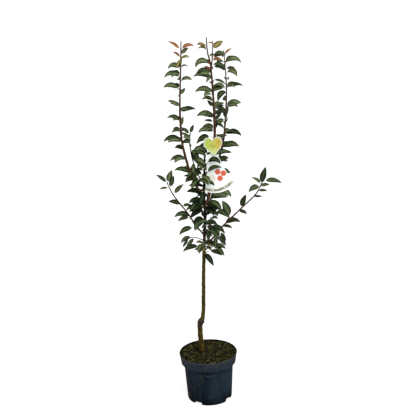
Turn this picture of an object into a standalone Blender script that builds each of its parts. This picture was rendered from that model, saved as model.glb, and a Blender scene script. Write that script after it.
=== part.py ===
"""A young common pear tree, 1.59 m tall with its pot.

A grafted trunk carries three upright shoots, two long side branches and five
short ones. Their leaves are uneven solids, one for each tuft along a limb.
The tree stands off centre in a round nursery pot filled with compost, and two
plastic labels hang on its middle shoot.

Metres, +Z up. The origin is the centre of the pot's flat underside, and the
front of the tree faces -Y.
"""

import math
from dataclasses import dataclass

import bmesh
import bpy
import numpy as np
from mathutils import Matrix, Vector, noise

# Driving dimensions of the pot
POT_HEIGHT = 0.215
RIM_RADIUS = 0.1285
COLLAR_FOOT_RADIUS = 0.1218
COLLAR_HEIGHT = 0.044
SHOULDER_HEIGHT = 0.013
BODY_TOP_RADIUS = 0.109
BASE_RADIUS = 0.0995
WALL = 0.0022
LIP = 0.0032
EDGE = 0.003
POT_SIDES = 36

# Drain pockets in the pot's lower edge
POCKET_COUNT = 4
POCKET_TURN = math.radians(-33)
POCKET_WIDTH = 0.046
POCKET_HEIGHT = 0.013
POCKET_DEPTH = 0.034
POCKET_TAPER = 0.78
POCKET_OVERRUN = 0.02
DRAIN_RADIUS = 0.006
DRAIN_SIDES = 12

# Pull lugs under the collar
LUG_TURN = math.radians(2)
LUG_WIDTH = 0.044
LUG_HEIGHT = 0.012
LUG_REACH = 0.0042
LUG_DRAFT = 0.002
LUG_SIDES = 20

# Compost
SOIL_LEVEL = 0.209

# The tree
FOOT_PLACE = (-0.028, 0.041)
TOP = 1.587
GRAFT_HEIGHT = 0.342
TRUNK_FOOT_RADIUS = 0.0118
FLARE = 0.0022
FLARE_HEIGHT = 0.018
SWELLING = 0.0030
SWELLING_HEIGHT = 0.016
STOCK_STEP = 0.0022
SCION_RADIUS = 0.0090
LEADER_TIP_RADIUS = 0.0042

# Leaf tufts
NODE_SPACING = 0.029
DIVERGENCE = math.radians(144)
TUFT_MARGIN = 0.0015
PEG = 0.010
TUFT_SEGMENTS = 8
TUFT_RINGS = 8
BOUGH_ROUNDNESS = 1
TRUNK_ROUNDNESS = 2

# Labels
LABEL_THICKNESS = 0.0008
LABEL_ROOM = 0.012
HEART_PLANE = -0.022
BELL_PLANE = -0.014
STRAP_WIDTH = 0.008
BAND_THICKNESS = 0.0012
BAND_ROOM = 0.0013
BAND_SIDES = 16
HEART_WIDTH = 0.079
HEART_HEIGHT = 0.082
HEART_CENTRE = (0.0555, 1.1438)
HEART_TILT = math.radians(4)
BELL_WIDTH = 0.133
BELL_HEIGHT = 0.172
BELL_TOP = (0.0455, 1.1155)
BELL_TILT = math.radians(12.4)

# Clear space between neighbouring pieces
GAP = 0.0003


# Scene
for old in list(bpy.data.objects):
    bpy.data.objects.remove(old, do_unlink=True)


def new_collection(name):
    made = bpy.data.collections.new(name)
    bpy.context.scene.collection.children.link(made)
    return made


TREE = new_collection("potted_pear_tree")
CUTTERS = new_collection("cutters")


def material(name, colour, roughness, metallic=0.0):
    made = bpy.data.materials.new(name)
    made.use_nodes = True
    shader = made.node_tree.nodes["Principled BSDF"]
    shader.inputs["Base Color"].default_value = (*colour, 1)
    shader.inputs["Roughness"].default_value = roughness
    shader.inputs["Metallic"].default_value = metallic
    return made


POT_PLASTIC = material("pot_plastic", (0.022, 0.032, 0.045), 0.45)
COMPOST = material("compost", (0.045, 0.042, 0.020), 0.95)
TRUNK_BARK = material("trunk_bark", (0.085, 0.070, 0.030), 0.75)
SHOOT_BARK = material("shoot_bark", (0.090, 0.045, 0.025), 0.60)
LEAVES = material("leaves", (0.045, 0.085, 0.030), 0.50)
YOUNG_LEAVES = material("young_leaves", (0.230, 0.085, 0.025), 0.50)
LABEL_GREEN = material("label_green", (0.500, 0.520, 0.100), 0.35)
LABEL_WHITE = material("label_white", (0.800, 0.830, 0.800), 0.35)


def place(obj, collection, finish=None):
    """Moves an object into a collection, which decides how it is drawn, and gives it its material."""
    for holder in list(obj.users_collection):
        holder.objects.unlink(obj)
    collection.objects.link(obj)
    if finish:
        obj.data.materials.clear()
        obj.data.materials.append(finish)
    obj.hide_render = collection is CUTTERS
    obj.display_type = "WIRE" if collection is CUTTERS else "TEXTURED"
    return obj


def object_from_bmesh(name, bm, collection, finish=None):
    bmesh.ops.recalc_face_normals(bm, faces=bm.faces)
    mesh = bpy.data.meshes.new(name)
    bm.to_mesh(mesh)
    bm.free()
    return place(bpy.data.objects.new(name, mesh), collection, finish)


def smooth(obj, angle=40):
    obj.data.shade_smooth()
    obj.data.set_sharp_from_angle(angle=math.radians(angle))
    return obj


def boolean(obj, other, operation="DIFFERENCE"):
    step = obj.modifiers.new(f"{operation.lower()}_{other.name}", "BOOLEAN")
    step.operation = operation
    step.solver = "EXACT"
    step.object = other
    return obj


def settled_mesh(obj):
    """The object's mesh with its modifiers in it, in world space and closed."""
    bpy.context.view_layer.update()
    evaluated = obj.evaluated_get(bpy.context.evaluated_depsgraph_get())
    mesh = bpy.data.meshes.new_from_object(evaluated)
    mesh.transform(obj.matrix_world)
    bm = bmesh.new()
    bm.from_mesh(mesh)
    bmesh.ops.remove_doubles(bm, verts=bm.verts, dist=1e-6)
    bmesh.ops.recalc_face_normals(bm, faces=bm.faces)
    bm.to_mesh(mesh)
    bm.free()
    return mesh


def settle(obj, collection, finish=None):
    """Replaces an object by one that holds its finished mesh."""
    name = obj.name
    mesh = settled_mesh(obj)
    bpy.data.objects.remove(obj, do_unlink=True)
    made = bpy.data.objects.new(name, mesh)
    mesh.name = name
    return place(made, collection, finish)


def drop_chips(obj):
    """Keeps the largest body of a mesh and removes the chips that a cut left beside it."""
    bm = bmesh.new()
    bm.from_mesh(obj.data)
    bodies, waiting = [], set(bm.verts)
    while waiting:
        body, edge = set(), [waiting.pop()]
        while edge:
            vertex = edge.pop()
            body.add(vertex)
            for link in vertex.link_edges:
                other = link.other_vert(vertex)
                if other in waiting:
                    waiting.remove(other)
                    edge.append(other)
        bodies.append(body)
    bodies.sort(key=len)
    for body in bodies[:-1]:
        bmesh.ops.delete(bm, geom=list(body), context="VERTS")
    bm.to_mesh(obj.data)
    bm.free()
    return obj


def turned(name, profile, collection, finish=None, sides=POT_SIDES):
    """A solid of revolution. The profile starts and ends on the axis, and runs down its outer side."""
    mesh = bpy.data.meshes.new(name)
    points = [(radius, 0, height) for radius, height in profile]
    mesh.from_pydata(points, [(i, i + 1) for i in range(len(points) - 1)], [])
    obj = place(bpy.data.objects.new(name, mesh), collection, finish)
    screw = obj.modifiers.new("turn", "SCREW")
    screw.angle = math.tau
    screw.steps = screw.render_steps = sides
    screw.use_merge_vertices = True
    screw.merge_threshold = 0.0001
    return obj


# Pot
SHOULDER_TOP = POT_HEIGHT - COLLAR_HEIGHT
BODY_TOP = SHOULDER_TOP - SHOULDER_HEIGHT


def pocket(name, turn, grow):
    """One drain pocket: a block that narrows upwards, across the pot's lower edge."""
    bm = bmesh.new()
    bmesh.ops.create_cube(bm, size=1)
    height = POCKET_HEIGHT + grow
    outer = BASE_RADIUS + POCKET_OVERRUN
    inner = BASE_RADIUS - POCKET_DEPTH - grow
    for vertex in bm.verts:
        top = vertex.co.z > 0
        narrowing = POCKET_TAPER if top else 1
        half = POCKET_WIDTH / 2 * narrowing + grow
        vertex.co.x = math.copysign(half, vertex.co.x)
        vertex.co.y = -outer if vertex.co.y < 0 else -inner
        vertex.co.z = height if top else -0.005
    bmesh.ops.rotate(bm, verts=bm.verts, matrix=Matrix.Rotation(turn, 3, "Z"))
    return object_from_bmesh(name, bm, CUTTERS)


def pocket_turns():
    return [POCKET_TURN + math.tau * i / POCKET_COUNT for i in range(POCKET_COUNT)]


def cavity_profile(shrink, top):
    """The pot's inner space, drawn in by shrink, up to the height top."""
    wall = WALL + shrink
    return (
        (0, top),
        (RIM_RADIUS - wall, top),
        (COLLAR_FOOT_RADIUS - wall, SHOULDER_TOP),
        (BODY_TOP_RADIUS - wall, BODY_TOP),
        (BASE_RADIUS - wall, wall + EDGE),
        (BASE_RADIUS - wall - EDGE, wall),
        (0, wall),
    )


def cavity_radius(height, shrink):
    """Radius of the inner space at a height in the collar."""
    share = (height - SHOULDER_TOP) / (POT_HEIGHT - SHOULDER_TOP)
    return COLLAR_FOOT_RADIUS + share * (RIM_RADIUS - COLLAR_FOOT_RADIUS) - WALL - shrink


def build_cavity(name, shrink, top, collection, finish=None):
    """The inner space, with the pockets' raised floors taken out of it."""
    profile = list(cavity_profile(shrink, top))
    profile[1] = (cavity_radius(top, shrink), top)
    cavity = turned(name, profile, collection, finish)
    for number, turn in enumerate(pocket_turns()):
        boolean(cavity, pocket(f"{name}_pocket_{number}", turn, WALL + shrink))
    return settle(cavity, collection, finish)


def build_pot():
    profile = (
        (0, POT_HEIGHT),
        (RIM_RADIUS - 0.0006, POT_HEIGHT),
        (RIM_RADIUS, POT_HEIGHT - 0.0008),
        (RIM_RADIUS, POT_HEIGHT - LIP),
        (RIM_RADIUS - 0.0012, POT_HEIGHT - LIP - 0.0006),
        (COLLAR_FOOT_RADIUS, SHOULDER_TOP),
        (BODY_TOP_RADIUS, BODY_TOP),
        (BASE_RADIUS, EDGE),
        (BASE_RADIUS - EDGE * 0.3, EDGE * 0.3),
        (BASE_RADIUS - EDGE, 0),
        (0, 0),
    )
    pot = turned("pot", profile, TREE, POT_PLASTIC)
    for number, side in enumerate((0, math.pi)):
        boolean(pot, lug(f"lug_{number}", LUG_TURN + side), "UNION")
    for number, turn in enumerate(pocket_turns()):
        boolean(pot, pocket(f"pocket_{number}", turn, 0))
        boolean(pot, drain(f"drain_{number}", turn))
    boolean(pot, build_cavity("pot_cavity", 0, POT_HEIGHT + 0.01, CUTTERS))
    return smooth(settle(pot, TREE, POT_PLASTIC), 30)


def lug(name, turn):
    """A rounded lug that stands out of the body just under the collar."""
    bm = bmesh.new()
    bmesh.ops.create_cone(
        bm,
        cap_ends=True,
        segments=LUG_SIDES,
        radius1=LUG_WIDTH / 2,
        radius2=LUG_WIDTH / 2 - LUG_DRAFT,
        depth=LUG_REACH * 4,
    )
    squash = Matrix.Diagonal((1, LUG_HEIGHT / LUG_WIDTH * 2, 1))
    bmesh.ops.transform(bm, matrix=squash.to_4x4(), verts=bm.verts)
    bmesh.ops.rotate(bm, verts=bm.verts, matrix=Matrix.Rotation(math.radians(90), 3, "X"))
    reach = BODY_TOP_RADIUS - LUG_REACH
    bmesh.ops.translate(bm, verts=bm.verts, vec=(0, -reach, BODY_TOP - 0.001))
    bmesh.ops.rotate(bm, verts=bm.verts, matrix=Matrix.Rotation(turn, 3, "Z"))
    return object_from_bmesh(name, bm, CUTTERS)


def drain(name, turn):
    """A round hole in the raised floor of a drain pocket."""
    bm = bmesh.new()
    bmesh.ops.create_cone(
        bm, cap_ends=True, segments=DRAIN_SIDES, radius1=DRAIN_RADIUS, radius2=DRAIN_RADIUS, depth=0.01
    )
    middle = BASE_RADIUS - POCKET_DEPTH * 0.55
    bmesh.ops.translate(bm, verts=bm.verts, vec=(0, -middle, POCKET_HEIGHT + 0.001))
    bmesh.ops.rotate(bm, verts=bm.verts, matrix=Matrix.Rotation(turn, 3, "Z"))
    return object_from_bmesh(name, bm, CUTTERS)


def build_soil():
    return smooth(build_cavity("soil", GAP, SOIL_LEVEL, TREE, COMPOST), 30)


# Limbs
@dataclass
class Limb:
    """A tapering limb along a smooth course, and the course that its leaves follow to the tip."""

    name: str
    stops: tuple
    foot_radius: float
    tip_radius: float
    spacing: float = 0.042

    def __post_init__(self):
        self.points = smooth_course(self.stops)
        steps = np.linalg.norm(np.diff(self.points, axis=0), axis=1)
        self.travel = np.concatenate([[0], np.cumsum(steps)])
        self.length = self.travel[-1]

    def at(self, distance):
        """A point on the course, which runs straight on past its tip."""
        point = np.array([np.interp(distance, self.travel, axis) for axis in self.points.T])
        last = self.points[-1] - self.points[-2]
        return point + max(0, distance - self.length) * last / np.linalg.norm(last)

    def direction(self, distance):
        ahead = self.at(distance + 0.01) - self.at(max(distance - 0.01, 0))
        return ahead / np.linalg.norm(ahead)

    def radius(self, distance):
        share = distance / self.length
        return self.foot_radius + (self.tip_radius - self.foot_radius) * share**1.6


def smooth_course(stops, per_stop=24):
    """Points on a curve that passes through each stop without a corner."""
    stops = np.array(stops, float)
    ends = np.vstack([2 * stops[0] - stops[1], stops, 2 * stops[-1] - stops[-2]])
    found = []
    for i in range(1, len(ends) - 2):
        before, here, there, after = ends[i - 1 : i + 3]
        for share in np.linspace(0, 1, per_stop, endpoint=False):
            found.append(
                0.5
                * (
                    2 * here
                    + (there - before) * share
                    + (2 * before - 5 * here + 4 * there - after) * share**2
                    + (3 * here - before - 3 * there + after) * share**3
                )
            )
    found.append(ends[-2])
    return np.array(found)


def limb_tube(name, limb, grow, roundness):
    """A tube of the limb's own taper, as a mesh in the cutters' collection."""
    end = wood_end(limb)
    count = max(3, round(end / limb.spacing) + 1)
    curve = bpy.data.curves.new(name, "CURVE")
    curve.dimensions = "3D"
    curve.bevel_depth = 1.0
    curve.bevel_resolution = roundness
    curve.use_fill_caps = True
    spline = curve.splines.new("POLY")
    spline.points.add(count - 1)
    for point, distance in zip(spline.points, np.linspace(0, end, count)):
        point.co = (*limb.at(distance), 1)
        point.radius = limb.radius(distance) + grow
    obj = place(bpy.data.objects.new(name, curve), CUTTERS)
    return settle(obj, CUTTERS)


class Trunk(Limb):
    """The trunk: a flared rootstock, a swollen graft, and a slimmer scion up to the pruned leader."""

    def radius(self, distance):
        height = self.at(distance)[2]
        above = height - SOIL_LEVEL
        flare = FLARE * math.exp(-((above / FLARE_HEIGHT) ** 2))
        swelling = SWELLING * math.exp(-(((height - GRAFT_HEIGHT) / SWELLING_HEIGHT) ** 2))
        if height < GRAFT_HEIGHT:
            share = above / (GRAFT_HEIGHT - SOIL_LEVEL)
            straight = TRUNK_FOOT_RADIUS + (SCION_RADIUS + STOCK_STEP - TRUNK_FOOT_RADIUS) * share
        else:
            share = (height - GRAFT_HEIGHT) / (self.points[-1][2] - GRAFT_HEIGHT)
            settled = min(1, (height - GRAFT_HEIGHT) / 0.02)
            straight = SCION_RADIUS + STOCK_STEP * (1 - settled)
            straight += (LEADER_TIP_RADIUS - SCION_RADIUS) * share**1.3
        return straight + flare + swelling


TRUNK = Trunk(
    "trunk",
    (
        (*FOOT_PLACE, SOIL_LEVEL - 0.02),
        (*FOOT_PLACE, SOIL_LEVEL + 0.01),
        (-0.033, 0.038, 0.300),
        (-0.030, 0.036, 0.338),
        (-0.017, 0.034, 0.372),
        (-0.012, 0.032, 0.441),
        (-0.008, 0.027, 0.530),
        (-0.004, 0.022, 0.624),
        (0.004, 0.015, 0.750),
        (0.010, 0.010, 0.845),
        (0.009, 0.005, 0.930),
        (0.014, 0.002, 1.030),
        (0.019, 0.000, 1.115),
    ),
    TRUNK_FOOT_RADIUS,
    LEADER_TIP_RADIUS,
    spacing=0.026,
)

LEFT_SHOOT = Limb(
    "left_shoot",
    (
        (0.009, 0.005, 0.955),
        (-0.014, -0.004, 0.963),
        (-0.045, -0.014, 1.039),
        (-0.071, -0.023, 1.157),
        (-0.075, -0.033, 1.250),
        (-0.073, -0.041, 1.340),
        (-0.065, -0.050, 1.450),
        (-0.057, -0.060, 1.578),
    ),
    0.0054,
    0.0020,
)
MIDDLE_SHOOT = Limb(
    "middle_shoot",
    (
        (0.009, 0.008, 0.885),
        (0.026, 0.003, 0.915),
        (0.037, 0.001, 0.985),
        (0.049, 0.001, 1.063),
        (0.063, -0.002, 1.175),
        (0.064, -0.005, 1.293),
        (0.061, -0.007, 1.396),
        (0.056, -0.010, 1.480),
        (0.046, -0.013, 1.528),
        (0.043, -0.015, TOP),
    ),
    0.0068,
    0.0020,
)
RIGHT_SHOOT = Limb(
    "right_shoot",
    (
        (0.010, 0.004, 0.960),
        (0.040, 0.020, 1.005),
        (0.072, 0.030, 1.070),
        (0.096, 0.042, 1.140),
        (0.109, 0.055, 1.225),
        (0.118, 0.069, 1.323),
        (0.120, 0.084, 1.403),
        (0.114, 0.100, 1.527),
    ),
    0.0046,
    0.0017,
)
LEFT_BRANCH = Limb(
    "left_branch",
    (
        (0.004, 0.015, 0.752),
        (-0.032, 0.033, 0.794),
        (-0.065, 0.052, 0.844),
        (-0.122, 0.071, 0.920),
        (-0.150, 0.088, 0.977),
    ),
    0.0035,
    0.0014,
)
RIGHT_BRANCH = Limb(
    "right_branch",
    (
        (0.002, 0.017, 0.712),
        (0.042, -0.006, 0.747),
        (0.079, -0.029, 0.799),
        (0.166, -0.053, 0.888),
        (0.224, -0.076, 0.951),
        (0.251, -0.094, 1.006),
    ),
    0.0038,
    0.0014,
)
BACK_BRANCH = Limb(
    "back_branch",
    (
        (0.008, 0.012, 0.800),
        (0.018, 0.070, 0.835),
        (0.040, 0.140, 0.890),
        (0.062, 0.195, 0.955),
        (0.074, 0.225, 1.035),
    ),
    0.0030,
    0.0011,
)
FRONT_BRANCH = Limb(
    "front_branch",
    ((0.006, 0.014, 0.775), (0.016, -0.050, 0.795), (0.026, -0.110, 0.825), (0.034, -0.170, 0.880)),
    0.0028,
    0.0011,
)
LOW_LEFT_SPUR = Limb(
    "low_left_spur",
    ((0.002, 0.017, 0.728), (-0.028, 0.004, 0.746), (-0.054, -0.010, 0.752), (-0.074, -0.022, 0.742)),
    0.0022,
    0.0010,
)
LOW_RIGHT_SPUR = Limb(
    "low_right_spur",
    ((0.000, 0.018, 0.690), (0.030, 0.002, 0.700), (0.060, -0.019, 0.721)),
    0.0022,
    0.0010,
)
INNER_SHOOT = Limb(
    "inner_shoot",
    (
        (0.012, 0.003, 0.985),
        (-0.012, 0.012, 1.020),
        (-0.034, 0.015, 1.090),
        (-0.041, 0.015, 1.150),
        (-0.038, 0.017, 1.200),
    ),
    0.0026,
    0.0011,
)
BOUGHS = (
    LEFT_SHOOT,
    MIDDLE_SHOOT,
    RIGHT_SHOOT,
    LEFT_BRANCH,
    RIGHT_BRANCH,
    BACK_BRANCH,
    FRONT_BRANCH,
    LOW_LEFT_SPUR,
    LOW_RIGHT_SPUR,
    INNER_SHOOT,
)


def graft_shoulder(name, grow):
    """The healed stub of the rootstock, which juts out to the left of the graft and is cut at a slant."""
    bm = bmesh.new()
    bmesh.ops.create_cone(
        bm, cap_ends=True, segments=12, radius1=0.0095 + grow, radius2=0.0065 + grow, depth=0.032 + 2 * grow
    )
    for vertex in bm.verts:
        if vertex.co.z > 0:
            vertex.co.z += 0.6 * vertex.co.x
    bmesh.ops.rotate(bm, verts=bm.verts, matrix=Matrix.Rotation(math.radians(-13), 3, "Y"))
    bmesh.ops.translate(bm, verts=bm.verts, vec=(-0.0375, 0.036, GRAFT_HEIGHT - 0.008))
    return object_from_bmesh(name, bm, CUTTERS)


def build_trunk():
    trunk = limb_tube("trunk", TRUNK, 0, TRUNK_ROUNDNESS)
    place(trunk, TREE, TRUNK_BARK)
    boolean(trunk, graft_shoulder("graft_shoulder", 0), "UNION")
    bm = bmesh.new()
    bmesh.ops.create_cube(bm, size=0.2)
    bmesh.ops.translate(bm, verts=bm.verts, vec=(*FOOT_PLACE, SOIL_LEVEL + GAP - 0.1))
    boolean(trunk, object_from_bmesh("below_ground", bm, CUTTERS))
    return smooth(settle(trunk, TREE, TRUNK_BARK))


def build_bough(limb, trunk_room):
    """A bough whose foot is hollowed to sit against the trunk."""
    bough = limb_tube(limb.name, limb, 0, BOUGH_ROUNDNESS)
    boolean(bough, trunk_room)
    return smooth(drop_chips(settle(bough, TREE, SHOOT_BARK)))


# Leaf tufts
@dataclass
class Tuft:
    """A mass of leaves round a limb, between two shares of its course."""

    name: str
    limb: Limb
    start: float
    end: float
    reach: float
    turn: float
    finish: object = LEAVES

    def axis(self, count=12):
        shares = np.linspace(self.start, self.end, count)
        return np.array([self.limb.at(share * self.limb.length) for share in shares])


TUFTS = (
    Tuft("left_shoot_mass_1", LEFT_SHOOT, 0.09, 0.345, 0.066, 10),
    Tuft("left_shoot_mass_2", LEFT_SHOOT, 0.36, 0.585, 0.066, 40),
    Tuft("left_shoot_mass_3", LEFT_SHOOT, 0.60, 0.785, 0.068, 80),
    Tuft("left_shoot_tip", LEFT_SHOOT, 0.80, 1.01, 0.068, 20, YOUNG_LEAVES),
    Tuft("middle_shoot_mass_1", MIDDLE_SHOOT, 0.05, 0.335, 0.060, 70),
    Tuft("middle_shoot_mass_2", MIDDLE_SHOOT, 0.43, 0.61, 0.074, 15),
    Tuft("middle_shoot_mass_3", MIDDLE_SHOOT, 0.62, 0.81, 0.076, 50),
    Tuft("middle_shoot_tip", MIDDLE_SHOOT, 0.82, 1.01, 0.072, 0, YOUNG_LEAVES),
    Tuft("right_shoot_mass_1", RIGHT_SHOOT, 0.14, 0.45, 0.074, 0),
    Tuft("right_shoot_mass_2", RIGHT_SHOOT, 0.46, 0.65, 0.072, 60),
    Tuft("right_shoot_mass_3", RIGHT_SHOOT, 0.66, 0.81, 0.076, 30),
    Tuft("right_shoot_tip", RIGHT_SHOOT, 0.825, 1.02, 0.074, 10, YOUNG_LEAVES),
    Tuft("left_branch_mass_1", LEFT_BRANCH, 0.17, 0.56, 0.060, 30),
    Tuft("left_branch_tip", LEFT_BRANCH, 0.58, 1.16, 0.060, 10),
    Tuft("right_branch_mass_1", RIGHT_BRANCH, 0.15, 0.43, 0.068, 288),
    Tuft("right_branch_mass_2", RIGHT_BRANCH, 0.45, 0.71, 0.062, 60),
    Tuft("right_branch_tip", RIGHT_BRANCH, 0.73, 1.14, 0.072, 288),
    Tuft("back_branch_mass_1", BACK_BRANCH, 0.22, 0.56, 0.076, 50),
    Tuft("back_branch_tip", BACK_BRANCH, 0.58, 1.0, 0.066, 10),
    Tuft("front_branch_tip", FRONT_BRANCH, 0.40, 1.12, 0.062, 40),
    Tuft("low_left_mass", LOW_LEFT_SPUR, 0.40, 1.10, 0.056, 15),
    Tuft("low_right_mass", LOW_RIGHT_SPUR, 0.42, 1.30, 0.062, 65),
    Tuft("inner_shoot_mass", INNER_SHOOT, 0.18, 0.58, 0.056, 40),
    Tuft("inner_shoot_tip", INNER_SHOOT, 0.61, 1.12, 0.054, 10),
    Tuft("trunk_mass_1", TRUNK, 0.46, 0.585, 0.080, 36),
    Tuft("trunk_mass_2", TRUNK, 0.595, 0.715, 0.072, 52),
    Tuft("trunk_mass_3", TRUNK, 0.725, 0.85, 0.070, 20),
    Tuft("leader_mass", TRUNK, 0.86, 0.985, 0.066, 70),
)


def wood_end(limb):
    """Where a limb's wood stops: just inside its tip tuft, or at the end of its course."""
    for tuft in TUFTS:
        if tuft.limb is limb and tuft.end >= 1.0:
            return tuft.start * limb.length + PEG
    return limb.length


def label_box(centre_x, centre_z, width, height):
    return (
        centre_x - width / 2 - LABEL_ROOM,
        centre_x + width / 2 + LABEL_ROOM,
        centre_z - height / 2 - LABEL_ROOM,
        centre_z + height / 2 + LABEL_ROOM,
    )


LABEL_BOXES = (
    label_box(*HEART_CENTRE, HEART_WIDTH, HEART_HEIGHT),
    label_box(BELL_TOP[0] + 0.032, BELL_TOP[1] - 0.085, BELL_WIDTH, BELL_HEIGHT),
)


def in_territory(point, own, others):
    """True where a point is nearer to its own tuft's axis than to any other's, and behind the labels."""
    mine = np.linalg.norm(own - point, axis=1).min()
    nearest = np.linalg.norm(others - point, axis=1).min()
    if mine + TUFT_MARGIN > nearest:
        return False
    behind = point[1] > BELL_PLANE + 0.006
    return behind or not any(
        left < point[0] < right and low < point[2] < high
        for left, right, low, high in LABEL_BOXES
    )


def tuft_outline(tuft, along, angle):
    """How far the leaves reach at this place, as a share of the tuft's reach: full at each leaf, drawn in between."""
    length = (tuft.end - tuft.start) * tuft.limb.length
    leaves = max(3, round(length / NODE_SPACING))
    most = 0.0
    for number in range(leaves):
        height = (number + 0.5) / leaves
        turn = math.radians(tuft.turn) + number * DIVERGENCE
        aside = math.remainder(angle - turn, math.tau) / math.radians(48)
        above = (along - height) * leaves / 1.5
        most = max(most, math.exp(-(aside**2) - above**2))
    ripple = noise.noise(Vector((math.cos(angle), math.sin(angle), 4 * along)) + Vector((tuft.turn, 0, 0)))
    return 0.55 + 0.45 * most + 0.06 * ripple


def build_tuft(tuft, clearances):
    """A ball bent along the limb and drawn out to each leaf, with room for the wood that runs through it."""
    own = tuft.axis()
    others = np.vstack([other.axis() for other in TUFTS if other is not tuft])
    bm = bmesh.new()
    bmesh.ops.create_uvsphere(bm, u_segments=TUFT_SEGMENTS, v_segments=TUFT_RINGS, radius=1)
    for vertex in bm.verts:
        polar = math.acos(max(-1, min(1, vertex.co.z)))
        angle = math.atan2(vertex.co.y, vertex.co.x)
        along = 1 - polar / math.pi
        distance = (tuft.start + (tuft.end - tuft.start) * along) * tuft.limb.length
        axis_point = tuft.limb.at(distance)
        forward = Vector(tuft.limb.direction(distance))
        side = Vector((0, 1, 0)).cross(forward).normalized()
        front = forward.cross(side)
        outward = np.array(side * math.cos(angle) + front * math.sin(angle))
        reach = tuft.reach * math.sin(polar) ** 0.55 * tuft_outline(tuft, along, angle)
        while reach > 0.004 and not in_territory(axis_point + outward * reach, own, others):
            reach *= 0.94
        vertex.co = Vector(axis_point + outward * reach)
    obj = object_from_bmesh(tuft.name, bm, TREE, tuft.finish)
    corners = np.array([vertex.co for vertex in obj.data.vertices])
    low, high = corners.min(axis=0) - 0.01, corners.max(axis=0) + 0.01
    for clearance in clearances:
        wood = np.array([vertex.co for vertex in clearance.data.vertices])
        if (wood.max(axis=0) > low).all() and (wood.min(axis=0) < high).all():
            boolean(obj, clearance)
    return smooth(settle(obj, TREE, tuft.finish), 80)


# Labels
def flat_outline(name, splines, finish):
    """A flat plate from closed Bezier outlines, standing upright and facing the front."""
    curve = bpy.data.curves.new(name, "CURVE")
    curve.dimensions = "2D"
    curve.fill_mode = "BOTH"
    curve.extrude = LABEL_THICKNESS / 2
    curve.resolution_u = 4
    for knots in splines:
        spline = curve.splines.new("BEZIER")
        spline.use_cyclic_u = True
        spline.bezier_points.add(len(knots) - 1)
        for point, (place_xy, before, after) in zip(spline.bezier_points, knots):
            point.handle_left_type = point.handle_right_type = "FREE"
            point.co = (*place_xy, 0)
            point.handle_left = (*before, 0)
            point.handle_right = (*after, 0)
    obj = place(bpy.data.objects.new(name, curve), CUTTERS)
    obj.rotation_euler = (math.radians(90), 0, 0)
    return settle(obj, CUTTERS, finish)


def heart_knots():
    """Notch, right lobe, point and left lobe, each with its two handles."""
    half, tall = HEART_WIDTH / 2, HEART_HEIGHT
    return (
        ((0, 0.30 * tall), (-0.12 * half, 0.44 * tall), (0.12 * half, 0.44 * tall)),
        ((0.56 * half, 0.50 * tall), (0.30 * half, 0.50 * tall), (0.84 * half, 0.50 * tall)),
        ((half, 0.20 * tall), (half, 0.38 * tall), (half, -0.04 * tall)),
        ((0, -0.50 * tall), (0.22 * half, -0.34 * tall), (-0.22 * half, -0.34 * tall)),
        ((-half, 0.20 * tall), (-half, -0.04 * tall), (-half, 0.38 * tall)),
        ((-0.56 * half, 0.50 * tall), (-0.84 * half, 0.50 * tall), (-0.30 * half, 0.50 * tall)),
    )


def bell_knots():
    """Crown, right shoulder, right corner, lower edge, left corner and left shoulder, measured from the top."""
    half, tall = BELL_WIDTH / 2, BELL_HEIGHT
    corner = -0.87 * tall
    return (
        ((0, 0), (-0.25 * half, 0), (0.25 * half, 0)),
        ((0.46 * half, -0.24 * tall), (0.42 * half, -0.10 * tall), (0.50 * half, -0.42 * tall)),
        ((half, corner), (0.80 * half, corner + 0.14 * tall), (0.72 * half, corner - 0.08 * tall)),
        ((0, -tall), (0.36 * half, -tall), (-0.36 * half, -tall)),
        ((-half, corner), (-0.72 * half, corner - 0.08 * tall), (-0.80 * half, corner + 0.14 * tall)),
        ((-0.46 * half, -0.24 * tall), (-0.50 * half, -0.42 * tall), (-0.42 * half, -0.10 * tall)),
    )


def band_round_shoot(name, height):
    """The strap's loop round the middle shoot. Returns it with its centre and the shoot's direction there."""
    distance = np.interp(height, MIDDLE_SHOOT.points[:, 2], MIDDLE_SHOOT.travel)
    centre = MIDDLE_SHOOT.at(distance)
    forward = Vector(MIDDLE_SHOOT.direction(distance))
    inner = (MIDDLE_SHOOT.radius(distance - STRAP_WIDTH) + BAND_ROOM) / math.cos(math.pi / BAND_SIDES)
    half = STRAP_WIDTH / 2
    mesh = bpy.data.meshes.new(name)
    outer = inner + BAND_THICKNESS
    section = ((inner, half), (outer, half), (outer, -half), (inner, -half))
    mesh.from_pydata([(r, 0, z) for r, z in section], [(0, 1), (1, 2), (2, 3), (3, 0)], [])
    band = place(bpy.data.objects.new(name, mesh), CUTTERS)
    screw = band.modifiers.new("turn", "SCREW")
    screw.angle = math.tau
    screw.steps = screw.render_steps = BAND_SIDES
    screw.use_merge_vertices = True
    screw.merge_threshold = 0.0001
    band.matrix_world = Matrix.Translation(centre) @ forward.to_track_quat("Z", "Y").to_matrix().to_4x4()
    return settle(band, CUTTERS), Vector(centre), inner


def strap(name, start, end):
    """A flat strip between two points."""
    bm = bmesh.new()
    bmesh.ops.create_cube(bm, size=1)
    way = end - start
    size = Matrix.Diagonal((STRAP_WIDTH * 0.7, LABEL_THICKNESS * 1.2, way.length))
    turn = way.to_track_quat("Z", "Y").to_matrix()
    bmesh.ops.transform(bm, matrix=(turn @ size).to_4x4(), verts=bm.verts)
    bmesh.ops.translate(bm, verts=bm.verts, vec=(start + end) / 2)
    return object_from_bmesh(name, bm, CUTTERS)


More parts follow.
